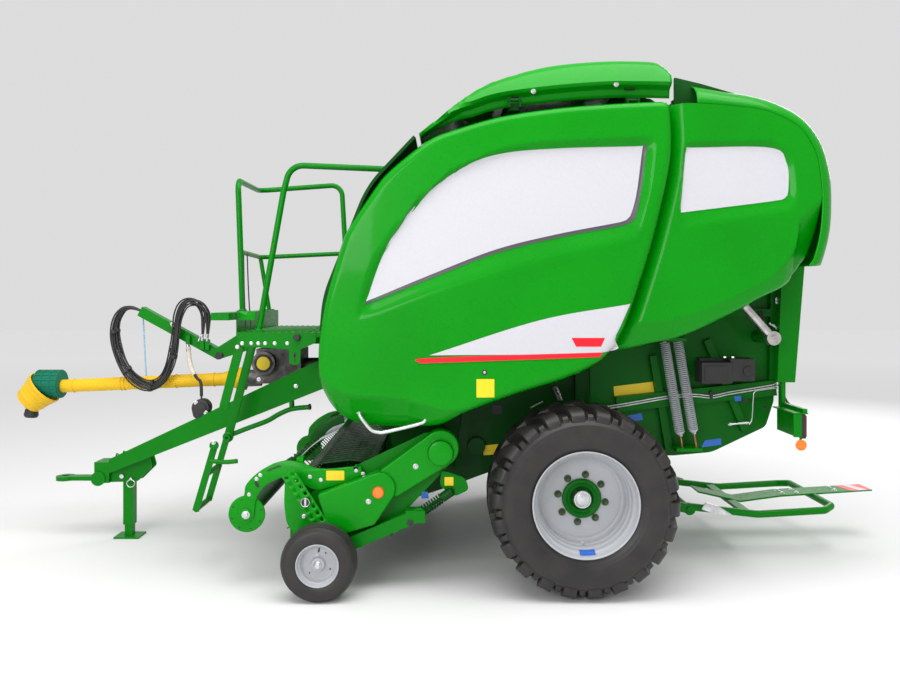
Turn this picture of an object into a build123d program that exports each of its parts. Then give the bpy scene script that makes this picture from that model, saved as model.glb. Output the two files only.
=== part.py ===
from build123d import *
import math
import os

# Variable chamber round baler. Sizes are in millimetres. While it is drawn, X is measured
# rearwards from the axle, Y from the middle to the machine's right, and Z up from the floor.
# At the end all is moved along X, so that the origin is half way along on the floor.

# Running clearances
SLIDE_GAP = 6
SEAT_GAP = 0.3

# Main wheels
TYRE_RADIUS = 541
TYRE_OUTER_Y = 1320
TYRE_INNER_Y = 790
TREAD_DEPTH = 24
RIM_RADIUS = 297
BEAD_SEAT = 14
DISC_DEPTH = 205
HUB_RADIUS = 112
STUB_RADIUS = 45
LUG_COUNT = 22

# Axle and frame
AXLE_HALF = 60
AXLE_END_Y = 770
WALL_INNER_Y = 640
WALL = 10
SPLIT_LOW_X = 130
SPLIT_HIGH_X = 500
SPLIT_GAP = 8

# Tailgate hinge, with its swing in degrees
HINGE_X = 480
HINGE_Z = 2900
HINGE_PIN = 30
SWING_TOP_Z = 2940
COVER_FRONT_X = 640

# Side doors, tailgate panels and hood
DOOR_OUTER_Y = 1250
DOOR_THICK = 42
PANEL_OUTER_Y = 1190
PANEL_THICK = 36
HOOD_OUTER_Y = 1140
HOOD_SHEET = 22
DECAL_DEPTH = 4
DOOR_HINGE_Y = 1185
DOOR_HINGE_Z = 2812
DOOR_HINGE_X = (-390, 280)
DOOR_PIN = 9

# Drawbar, hitch and jack
EYE_X = -3491
EYE_Z = 416
EYE_OUTER = 64
EYE_BORE = 25
EYE_THICK = 28
HEAD_X = -3254
JACK_PIVOT_X = -3068
JACK_PIVOT_Z = 438
JACK_PIN = 12
JACK_X = -3034
JACK_TUBE = 70
FOOT_LENGTH = 176
FOOT_WIDTH = 150
FOOT_THICK = 12

# Drive shaft
SHAFT_RADIUS = 46
SHAFT_REAR = (-2361, 0, 1117)
SHAFT_FRONT = (-3521, 0, 1067)
YOKE_BORE = 17.5
YOKE_HUB = 34
YOKE_LENGTH = 75

# Platform, rails and ladder
DECK_Z = 1484
DECK_FRONT_X = -2050
DECK_REAR_X = -1492
DECK_LEFT_Y = -850
DECK_RIGHT_Y = 344
DECK_THICK = 30
RAIL_RADIUS = 18.5
STRINGER_RADIUS = 17
LADDER_LEFT_Y = -828
LADDER_RIGHT_Y = -500
STEP_PIVOT_X = -2200
STEP_PIVOT_Z = 789

# Pickup
PICKUP_X = -810
PICKUP_Z = 826
PICKUP_STUB = 60
PICKUP_BOSS = 71
COVER_RADIUS = 105
REEL_X = -1480
REEL_Z = 452
REEL_BAR_RADIUS = 170
TINE_RADIUS = 300
TINE_BARS = 5
TINES_PER_BAR = 26
TINE_PITCH = 74
TINE_WIRE = 6
UPPER_COVER_Y = 1125
LOWER_COVER_Y = 1148
PICKUP_WALL_Y = 1032
PICKUP_WALL = 10
GUARD_X = -1939
GUARD_Z = 435
GUARD_DISC = 107
DISC_LIP = 4
GUARD_SHAFT = 22
GUARD_PIVOT_X = -1302
GUARD_PIVOT_Z = 704
GUARD_Y = 1052
COMB_FINGERS = 24
COMB_PITCH = 82
GAUGE_X = -1489
GAUGE_Z = 212
GAUGE_OUTER_Y = 1320
GAUGE_WIDTH = 165
GAUGE_RIM = 118

# Feed rotor and rollers
ROTOR_X = -945
ROTOR_Z = 640
ROTOR_RADIUS = 235
ROTOR_STARS = 15
ROTOR_SHAFT = 30
STARTER_X = -590
STARTER_Z = 760
STARTER_RADIUS = 90

# Bale ramp
RAMP_X = 809
RAMP_Z = 313
RAMP_TUBE = 24
RAMP_Y = 400

# Tailgate cylinders
RAM_ANCHOR_X = 426
RAM_ANCHOR_Z = 2312
RAM_EYE_X = 1185
RAM_EYE_Z = 1450
RAM_Y = 900
RAM_BARREL = 38
RAM_ROD = 25
RAM_PIN = 16
RAM_EYE_HALF = 25


# Belts of the tailgate
BELT_ROLLERS = ((640, 2600), (1150, 2400), (1200, 1300), (900, 900))
ROLLER_RADIUS = 55
BELT_THICK = 7
BELT_WIDTH = 215
BELT_PITCH = 235
BELT_COUNT = 5

# Hydraulic hoses: glands on the arm as place along X with lower and upper height, then routes
HOSE_RADIUS = 6
HOSE_Y = -58
HOSE_GLANDS = ((-2500, 1330, 1400), (-2465, 1330, 1400), (-2600, 1370, 1430))
HOSE_ROUTES = {
    "hose_upper": [(-2951, 8, 1601), (-3043, 8, 1651.6), (-3118, -4, 1575), (-3124, -30, 1430),
                   (-3078, -56, 1280), (-2995, -70, 1150), (-2885, -80, 1078), (-2782, -80, 1112),
                   (-2722, -80, 1222), (-2694, -80, 1350), (-2684, -80, 1470), (-2672, -79, 1580),
                   (-2628, -76, 1668), (-2540, -68, 1668), (-2498, -60, 1592), (-2500, HOSE_Y, 1500),
                   (-2500, HOSE_Y, 1400)],
    "hose_lower": [(-2951, -20, 1601), (-3045, -20, 1652.7), (-3130, -32, 1565), (-3138, -55, 1405),
                   (-3088, -80, 1250), (-2998, -95, 1118), (-2882, -104, 1046), (-2768, -104, 1084),
                   (-2702, -104, 1200), (-2668, -104, 1340), (-2654, -104, 1470), (-2640, -103, 1574),
                   (-2596, -100, 1658), (-2506, -88, 1658), (-2462, -66, 1580), (-2465, HOSE_Y, 1490),
                   (-2465, HOSE_Y, 1400)],
    "hose_lead": [(-2600, HOSE_Y, 1370), (-2600, HOSE_Y, 1290), (-2570, -90, 1200), (-2512, -150, 1135),
                  (-2468, -205, 1125), (-2450, -248, 1075), (-2450, -248, 1010)],
}


def outline(points, radii=0):
    """Closed flat face through the points, with its corners rounded."""
    if radii == 0:
        return make_face(Polyline(*points, close=True))
    if not isinstance(radii, (list, tuple)):
        radii = [radii] * len(points)
    return make_face(FilletPolyline(*points, radius=list(radii), close=True))


def prism(face, y_from, y_to):
    """Face drawn in X and Z, drawn out between two places along Y."""
    placed = Plane.XZ.offset(-y_from) * face
    return extrude(placed, amount=y_to - y_from, dir=(0, 1, 0))


def sheet(points, radii, thick, y_from, y_to):
    """Bent sheet whose outer side runs through the points, drawn out along Y."""
    line = FilletPolyline(*points, radius=radii)
    band = make_face(offset(line, amount=thick, side=Side.RIGHT, closed=True))
    return prism(band, y_from, y_to)


def disc(x, z, radius, y_from, y_to):
    """Round piece whose axis lies along Y."""
    return prism(Pos(x, z) * Circle(radius), y_from, y_to)


def bar(start, end, radius):
    """Round bar between two points."""
    run = Vector(*end) - Vector(*start)
    place = Plane(origin=start, z_dir=run)
    return extrude(place * Circle(radius), amount=run.length)


def beam(start, end, width, depth):
    """Square bar between two points in a plane along X, width along Y and depth across."""
    run = Vector(*end) - Vector(*start)
    place = Plane(origin=start, x_dir=(0, 1, 0), z_dir=run)
    return extrude(place * Rectangle(width, depth), amount=run.length)


def pipe(points, radius, bends):
    """Round tube along straight runs and bends."""
    path = FilletPolyline(*points, radius=bends)
    return sweep(Plane(origin=path @ 0, z_dir=path % 0) * Circle(radius), path=path)


def block(x, y, z):
    """Box from pairs of limits along X, Y and Z."""
    size = [x[1] - x[0], y[1] - y[0], z[1] - z[0]]
    middle = [(x[0] + x[1]) / 2, (y[0] + y[1]) / 2, (z[0] + z[1]) / 2]
    return Pos(*middle) * Box(*size)


def both(piece):
    """The piece and its mirror image across the machine's middle."""
    return piece + mirror(piece, about=Plane.XZ)


def turned(profile_face, x, z, y):
    """Face drawn in radius and depth turned about an axis along Y, its depth starting at y."""
    face = Plane(origin=(x, y, z), x_dir=(1, 0, 0), z_dir=(0, 0, 1)) * profile_face
    return revolve(face, Axis((x, y, z), (0, 1, 0)), 360)


nodes = {}


def keep(name, solid, mirror_of_left=False):
    """Stores a piece under its name, or a left piece and its right mirror image."""
    if mirror_of_left:
        nodes[name + "_left"] = solid
        nodes[name + "_right"] = mirror(solid, about=Plane.XZ)
    else:
        nodes[name] = solid


# Main wheels: profiles are radius and depth inwards from the outer sidewall
def main_wheels():
    width = TYRE_OUTER_Y - TYRE_INNER_Y
    bead = RIM_RADIUS - BEAD_SEAT + SEAT_GAP
    casing = TYRE_RADIUS - TREAD_DEPTH
    bulge = bead + 0.58 * (casing - bead)
    half = [(bead, 52), (bead + 22, 24), (bead + 0.3 * (casing - bead), 6), (bulge, 0),
            (bead + 0.82 * (casing - bead), 12), (casing - 12, 46), (casing, 92)]
    tyre_face = outline(half + [(r, width - depth) for r, depth in reversed(half)])
    tyre = turned(tyre_face, 0, TYRE_RADIUS, -TYRE_OUTER_Y)
    centre_y = -(TYRE_OUTER_Y + TYRE_INNER_Y) / 2
    lug_face = Polyline((-34, 2), (34, 14), (104, 236), (36, 236), close=True)
    lug = extrude(Pos(0, 0, casing - 12) * make_face(lug_face), amount=TREAD_DEPTH + 40)
    lug = Pos(0, 0, -TYRE_RADIUS) * (Pos(0, 0, TYRE_RADIUS)
                                     * lug & disc(0, TYRE_RADIUS, TYRE_RADIUS, 0, 240))
    for row, piece in enumerate((lug, mirror(lug, about=Plane.XZ))):
        for place in range(LUG_COUNT):
            angle = (place + row / 2) * 360 / LUG_COUNT
            tyre += Pos(0, centre_y, TYRE_RADIUS) * Rot(0, angle, 0) * piece
    keep("tyre", tyre, True)
    disc_y = DISC_DEPTH
    rim_face = outline(
        [(RIM_RADIUS, 22), (RIM_RADIUS, 34), (RIM_RADIUS - BEAD_SEAT, 50), (RIM_RADIUS - BEAD_SEAT, 75),
         (RIM_RADIUS - 26, 150), (RIM_RADIUS - 26, width - 90), (RIM_RADIUS - BEAD_SEAT, width - 75),
         (RIM_RADIUS - BEAD_SEAT, width - 50), (RIM_RADIUS, width - 34), (RIM_RADIUS, width - 22),
         (RIM_RADIUS - 50, width - 60), (RIM_RADIUS - 50, disc_y + 30), (150, disc_y + 14),
         (70, disc_y + 14), (70, disc_y), (155, disc_y), (215, disc_y - 26),
         (RIM_RADIUS - 50, disc_y - 26), (RIM_RADIUS - 50, 140), (RIM_RADIUS - 38, 50),
         (RIM_RADIUS - 12, 22)])
    rim = turned(rim_face, 0, TYRE_RADIUS, -TYRE_OUTER_Y)
    hub_y = -TYRE_OUTER_Y + DISC_DEPTH
    hub = disc(0, TYRE_RADIUS, 165, hub_y + 14, hub_y + 34)
    hub += disc(0, TYRE_RADIUS, HUB_RADIUS, hub_y + 34, hub_y + 150)
    hub += disc(0, TYRE_RADIUS, 69.5, hub_y - 30, hub_y + 14)
    hub += disc(0, TYRE_RADIUS, 49, hub_y - 62, hub_y - 30)
    hub -= disc(0, TYRE_RADIUS, STUB_RADIUS + SEAT_GAP, hub_y + 10, hub_y + 151)
    keep("rim", rim + hub, True)


def axle():
    beam_solid = block((-AXLE_HALF, AXLE_HALF), (-AXLE_END_Y, AXLE_END_Y),
                       (TYRE_RADIUS - AXLE_HALF, TYRE_RADIUS + AXLE_HALF))
    stub = disc(0, TYRE_RADIUS, STUB_RADIUS, -TYRE_OUTER_Y + DISC_DEPTH + 12, -AXLE_END_Y)
    stub += disc(0, TYRE_RADIUS, 70, -TYRE_OUTER_Y + DISC_DEPTH + 152, -AXLE_END_Y)
    arm = beam((20, -RAMP_Y - 70, 510), (RAMP_X, -RAMP_Y - 70, RAMP_Z), 30, 60)
    arm += disc(RAMP_X, RAMP_Z, 38, -RAMP_Y - 85, -RAMP_Y - 55)
    arm -= disc(RAMP_X, RAMP_Z, 20 + SEAT_GAP, -RAMP_Y - 86, -RAMP_Y - 54)
    keep("axle", beam_solid + both(stub) + both(arm))


# Chamber walls of the frame and of the tailgate
WALL_FRONT = [(-1080, 396), (-1130, 820), (-1340, 1010), (-1380, 1300), (-1380, 1560), (-1160, 2250),
              (-740, 2610), (-80, 2790), (SPLIT_HIGH_X - SPLIT_GAP, 2850),
              (SPLIT_LOW_X - SPLIT_GAP, 1400),
              (SPLIT_LOW_X - SPLIT_GAP, 601), (-120, 601), (-350, 640), (-520, 588), (-759, 500)]
WALL_REAR = [(SPLIT_LOW_X, 690), (660, 697), (898, 718), (1240, 880), (1290, 1040), (1320, 1900),
             (1310, 2330), (1170, 2620), (930, 2770), (SPLIT_HIGH_X + 10, 2850), (SPLIT_LOW_X, 1400)]


def chamber_walls():
    wall = prism(outline(WALL_FRONT), -WALL_INNER_Y - WALL, -WALL_INNER_Y)
    for x_from, z_from, x_to, z_to in (
            (-1330, 1250, 90, 1250), (-1150, 2150, 280, 2150), (-700, 620, -420, 2600),
            (60, 640, 60, 1390), (60, 1390, 400, 2740)):
        rib = beam((x_from, -WALL_INNER_Y - WALL - 22, z_from),
                   (x_to, -WALL_INNER_Y - WALL - 22, z_to), 44, 60)
        wall += rib
    ear = outline([(340, 2750), (480, 2790), (486, 2850), (516, 2870), (516, 2925), (440, 2945)],
                  [10, 10, 5, 15, 20, 30])
    wall += prism(ear, -WALL_INNER_Y - WALL, -WALL_INNER_Y)
    wall += disc(HINGE_X, HINGE_Z, HINGE_PIN, -WALL_INNER_Y - WALL - 60, -WALL_INNER_Y - WALL)
    wall += disc(PICKUP_X, PICKUP_Z, PICKUP_STUB, -PICKUP_WALL_Y - PICKUP_WALL + 1, -WALL_INNER_Y - WALL)
    for x, z in ((ROTOR_X, ROTOR_Z), (STARTER_X, STARTER_Z)):
        wall += disc(x, z, ROTOR_SHAFT + 25, -WALL_INNER_Y - WALL - 45, -WALL_INNER_Y - WALL)
        wall -= disc(x, z, ROTOR_SHAFT + SEAT_GAP, -WALL_INNER_Y - WALL - 35, -WALL_INNER_Y)
    wall += disc(RAM_ANCHOR_X, RAM_ANCHOR_Z, RAM_PIN + 22, -RAM_Y + 34, -WALL_INNER_Y - WALL)
    wall += disc(RAM_ANCHOR_X, RAM_ANCHOR_Z, RAM_PIN, -RAM_Y - 34, -RAM_Y + 34)
    keep("chamber_wall", wall, True)
    cross = block((-1370, -1270), (-WALL_INNER_Y, WALL_INNER_Y), (1180, 1400))
    cross += block((-1120, -1020), (-WALL_INNER_Y, WALL_INNER_Y), (2160, 2260))
    cross += block((-60, 40), (-WALL_INNER_Y, WALL_INNER_Y), (2660, 2740))
    for x, low, high in ((DOOR_HINGE_X[0], 2660, 2845), (DOOR_HINGE_X[1], 2760, 2890)):
        cross += block((x - 30, x + 30), (-HOOD_OUTER_Y + HOOD_SHEET, HOOD_OUTER_Y - HOOD_SHEET),
                       (high, high + 55))
        arm = block((x - 30, x + 30), (-692, -632), (low, high))
        arm += block((x - 30, x + 30), (-DOOR_HINGE_Y + 24, -690), (2760, 2800))
        for ear_x in (x - 36, x + 24):
            ear = block((ear_x, ear_x + 12), (-DOOR_HINGE_Y - 16, -DOOR_HINGE_Y + 30),
                        (2770, DOOR_HINGE_Z + 14))
            arm += ear
        arm += bar((x - 40, -DOOR_HINGE_Y, DOOR_HINGE_Z), (x + 40, -DOOR_HINGE_Y, DOOR_HINGE_Z), DOOR_PIN)
        cross += both(arm)
    for x_from, x_to, low, high in ((-1470, -1300, 1530, 1570), (-1260, -1000, 2180, 2220)):
        cross += both(block((x_from, x_to), (-690, -632), (low, high)))
    for wall_name in ("chamber_wall_left", "chamber_wall_right"):
        cross -= nodes[wall_name]
    nodes["frame_cross_beams"] = cross


def tailgate_walls():
    wall_y = -WALL_INNER_Y - WALL
    wall = prism(outline(WALL_REAR, [5, 200, 200, 60, 80, 200, 200, 120, 120, 10, 60]), wall_y,
                 -WALL_INNER_Y)
    arm_y = wall_y - SLIDE_GAP
    arm = outline([(430, 2850), (560, 2760), (760, 2560), (900, 2560), (900, 2700), (600, 2880),
                   (500, 2945),
                   (440, 2945)], [40, 40, 20, 20, 20, 40, 40, 30])
    wall += prism(arm, arm_y - 30, arm_y)
    wall += block((680, 880), (arm_y - 1, wall_y + 1), (2580, 2700))
    wall -= disc(HINGE_X, HINGE_Z, HINGE_PIN + SEAT_GAP, arm_y - 40, wall_y)
    for x_from, z_from, x_to, z_to in ((520, 1330, 620, 740), (860, 1430, 1100, 860),
                                       (240, 1600, 1290, 1600), (1270, 1120, 1290, 2300)):
        wall += beam((x_from, wall_y - 20, z_from), (x_to, wall_y - 20, z_to), 40, 46)
    wall += beam((288, wall_y - 28, 1026), (1285, wall_y - 28, 1130), 56, 95)
    wall += disc(RAM_EYE_X, RAM_EYE_Z, RAM_PIN + 22, -RAM_Y + RAM_EYE_HALF + SEAT_GAP, wall_y)
    keep("tailgate_wall", wall, True)
    post = outline([(1300, 1910), (1270, 1170), (1380, 1170), (1440, 1910)], [5, 5, 5, 5])
    beams = both(prism(post, -760, -WALL_INNER_Y + 10))
    beams += both(block((1300, 1325), (-1060, -700), (1015, 1045)))
    beams += both(block((1300, 1325), (-750, -700), (1015, 1190)))
    for x_from, x_to, low, high in ((640, 700, 2760, 2935), (1190, 1250, 2450, 2800),
                                    (1290, 1425, 2250, 2300)):
        beams += both(block((x_from, x_to), (-690, -645), (low, high)))
    beams += block((1310, 1375), (-700, 700), (1180, 1250))
    nodes["tailgate_beams"] = beams - nodes["tailgate_wall_left"] - nodes["tailgate_wall_right"]


# Doors: outline of the left one, then its crease and its sunk fields
DOOR_POINTS = [(-1505, 950), (-1500, 1620), (-1240, 2300), (-960, 2600), (-120, 2790), (470, 2808),
               (492, 2520), (200, 1450), (-330, 1165), (-690, 1050), (-800, 945)]
DOOR_RADII = [170, 1500, 900, 300, 1800, 30, 1500, 420, 900, 120, 120]
CREASE_Z = 1150
CREASE_SLOPE = -0.12
LOWER_TUCK = 70


def side_doors():
    shell = prism(outline(DOOR_POINTS, DOOR_RADII), -1400, -1000)
    outer = -DOOR_OUTER_Y
    section = Polyline(
        (outer, 1900), (outer, 0), (outer + LOWER_TUCK, -260), (outer + LOWER_TUCK + DOOR_THICK, -260),
        (outer + DOOR_THICK, 0), (outer + DOOR_THICK, 1900), close=True)
    section = Plane(origin=(-1600, 0, CREASE_Z + 30), x_dir=(0, 1, 0), z_dir=(1, 0, CREASE_SLOPE)) \
        * make_face(section)
    door = shell & extrude(section, amount=2300)
    upper = outline([(-1290, 1560), (-1180, 1940), (-760, 2440), (-140, 2560), (410, 2600), (400, 2180),
                     (330, 2060), (-120, 1990), (-480, 1900)], [60, 700, 300, 300, 40, 60, 60, 300, 500])
    door -= prism(upper, outer - 1, outer + DECAL_DEPTH)
    for x in DOOR_HINGE_X:
        leaf = block((x - 20, x + 20), (outer + DOOR_THICK, -DOOR_HINGE_Y), (2640, DOOR_HINGE_Z))
        leaf += bar((x - 20, -DOOR_HINGE_Y, DOOR_HINGE_Z), (x + 20, -DOOR_HINGE_Y, DOOR_HINGE_Z),
                    DOOR_PIN + 7)
        door += leaf
        door -= bar((x - 21, -DOOR_HINGE_Y, DOOR_HINGE_Z), (x + 21, -DOOR_HINGE_Y, DOOR_HINGE_Z),
                    DOOR_PIN + SEAT_GAP)
    keep("side_door", door, True)


def tailgate_panels():
    panel = outline(
        [(400, 2757), (820, 2757), (1230, 2690), (1345, 2300), (1300, 1850), (990, 1680), (603, 1482),
         (395, 1430), (153, 1390), (150, 1500), (330, 2100)],
        [20, 200, 170, 500, 250, 200, 200, 200, 40, 40, 600])
    outer = -PANEL_OUTER_Y
    solid = prism(panel, outer, outer + PANEL_THICK)
    field = outline([(560, 2300), (1150, 2370), (1210, 2420), (1220, 2600), (1090, 2660), (560, 2672)],
                    [10, 40, 40, 110, 110, 10])
    solid -= prism(field, outer - 1, outer + DECAL_DEPTH)
    for x, z in ((1060, 2560), (1200, 2250), (1200, 1880)):
        solid += bar((x, outer + PANEL_THICK - 1, z), (x, -WALL_INNER_Y - WALL, z), 20)
    keep("tailgate_panel", solid - nodes["tailgate_wall_left"], True)
    shell_points = [(COVER_FRONT_X, SWING_TOP_Z - 12), (1060, 2840), (1395, 2640), (1440, 2260),
                    (1385, 1885)]
    inner = PANEL_OUTER_Y - PANEL_THICK
    cover = sheet(shell_points, [200, 330, 600], 16, -inner, inner)
    keep("tailgate_cover", cover)
    nodes["tailgate_beams"] -= cover


def hood():
    top = [(-934, 2626), (-765, 2780), (-576, 2911), (-384, 2987), (-131, 3054), (143, 3076),
           (417, 3070), (468, 3020), (517, 2905)]
    lower = [(-131, 2860), (-480, 2815), (-760, 2690)]
    side = outline(top + lower, [10, 60, 200, 200, 300, 400, 40, 40, 20, 200, 200, 100])
    inner = outline(
        [(-900, 2600), (-765, 2750), (-576, 2881), (-384, 2959), (-131, 3026), (143, 3048), (560, 3048),
         (600, 2700)], [5, 60, 200, 200, 300, 400, 5, 5])
    solid = prism(side, -HOOD_OUTER_Y, HOOD_OUTER_Y)
    solid -= prism(inner, -HOOD_OUTER_Y + HOOD_SHEET, HOOD_OUTER_Y - HOOD_SHEET)
    keep("hood", solid)
    front = sheet([(-950, 2600), (-1215, 2320), (-1460, 1700), (-1478, 1500)], [600, 600], -18, -1190,
                  1190)
    keep("front_panel", front)
    nodes["frame_cross_beams"] -= front


def drawbar():
    sections = []
    for x, y_in, y_out, low, high in ((-3150, 25, 85, 463, 562), (-1370, 520, 600, 1190, 1400)):
        corners = Polyline((y_in, low), (y_out, low), (y_out, high), (y_in, high), close=True)
        sections.append(Plane(origin=(x, 0, 0), x_dir=(0, -1, 0), z_dir=(-1, 0, 0)) * make_face(corners))
    bar_pair = both(loft(sections, ruled=True))
    head = block((HEAD_X, -3150), (-80, 80), (395, 540))
    head -= block((HEAD_X - 1, -3185), (-81, 81), (EYE_Z - EYE_THICK / 2, EYE_Z + EYE_THICK / 2))
    head += both(disc(HEAD_X + 30, EYE_Z + 10, 50, -92, -80))
    eye = Pos(EYE_X, 0, EYE_Z) * Cylinder(EYE_OUTER, EYE_THICK)
    eye += block((EYE_X, -3185), (-40, 40), (EYE_Z - EYE_THICK / 2, EYE_Z + EYE_THICK / 2))
    eye -= Pos(EYE_X, 0, EYE_Z) * Cylinder(EYE_BORE, EYE_THICK * 2)
    keep("hitch_eye", eye)
    plate = outline([(-3150, 395), (-2960, 400), (-2860, 500), (-2880, 575), (-3150, 480)],
                    [5, 40, 20, 10, 5])
    bracket = both(prism(plate, -52, -JACK_TUBE / 2 - SLIDE_GAP))
    bracket += disc(JACK_PIVOT_X, JACK_PIVOT_Z, JACK_PIN, -62, 62)
    cross = block((-1960, -1840), (-400, 400), (1040, 1100))
    keep("drawbar", bar_pair + head + bracket + cross)


def jack():
    half = JACK_TUBE / 2
    leg = block((JACK_X - half, JACK_X + half), (-half, half), (90, 452))
    leg += prism(outline([(JACK_PIVOT_X - 26, 410), (JACK_X, 380), (JACK_X, 452),
                          (JACK_PIVOT_X - 26, 464)],
                         [20, 0, 0, 20]), -half, half)
    leg += block((JACK_X - 27, JACK_X + 27), (-27, 27), (FOOT_THICK, 95))
    leg += block((JACK_X - FOOT_LENGTH / 2, JACK_X + FOOT_LENGTH / 2), (-FOOT_WIDTH / 2, FOOT_WIDTH / 2),
                 (0, FOOT_THICK))
    leg -= disc(JACK_PIVOT_X, JACK_PIVOT_Z, JACK_PIN + SEAT_GAP, -half - 1, half + 1)
    keep("jack_leg", leg)


# Drive: gearbox, guarded shaft and its angled front joint
def drive():
    box = block((-2100, -1790), (-150, 150), (1100, 1340))
    box += bar((-2100, 0, 1128), (-2260, 0, 1121), 60)
    box += disc(-2040, 1244, 80, -200, -140)
    box += bar((-1790, 0, 1220), (-1371, 0, 1220), 50)
    guard = bar(SHAFT_REAR, SHAFT_FRONT, SHAFT_RADIUS)
    rear_bell = Plane(origin=SHAFT_REAR, z_dir=(150, 0, 7))
    guard += loft([rear_bell * Circle(50), rear_bell.offset(150) * Circle(85)])
    collar = bar((-3514, 0, 1085), (-3685, 0, 1082), 96)
    collar -= guard
    keep("shaft_collar", collar)
    bell_place = Plane(origin=(-3625, 0, 1055), z_dir=(-1, 0, -1))
    bell = loft([bell_place * Circle(60), bell_place.offset(130) * Circle(85)])
    bell -= loft([bell_place.offset(20) * Circle(50), bell_place.offset(131) * Circle(79)])
    bell -= collar
    keep("shaft_guard", guard + bell)
    keep("gearbox", box - guard)
    yoke = extrude(bell_place.offset(20) * Circle(38), amount=70)
    yoke += extrude(bell_place.offset(90) * Rectangle(76, 96), amount=30)
    yoke += extrude(bell_place.offset(120) * Circle(YOKE_HUB), amount=YOKE_LENGTH)
    yoke -= extrude(bell_place.offset(120) * Circle(YOKE_BORE), amount=YOKE_LENGTH + 1)
    keep("shaft_yoke", yoke - collar - bell)


def hose_arm():
    arm = beam((-2382, 0, 1288), (-2951, 0, 1601), 80, 70)
    cheek = outline([(-2430, 1250), (-2110, 1346), (-2056, 1350), (-2056, 1440), (-2200, 1470),
                     (-2420, 1330)], [40, 10, 5, 5, 40, 40])
    arm += both(prism(cheek, -52, -40))
    arm += disc(-2382, 1288, 24, -58, 58)
    for x, low, high in HOSE_GLANDS:
        arm += block((x - 14, x + 14), (HOSE_Y - 16, -38), (low, high))
    keep("hose_arm", arm)


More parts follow.
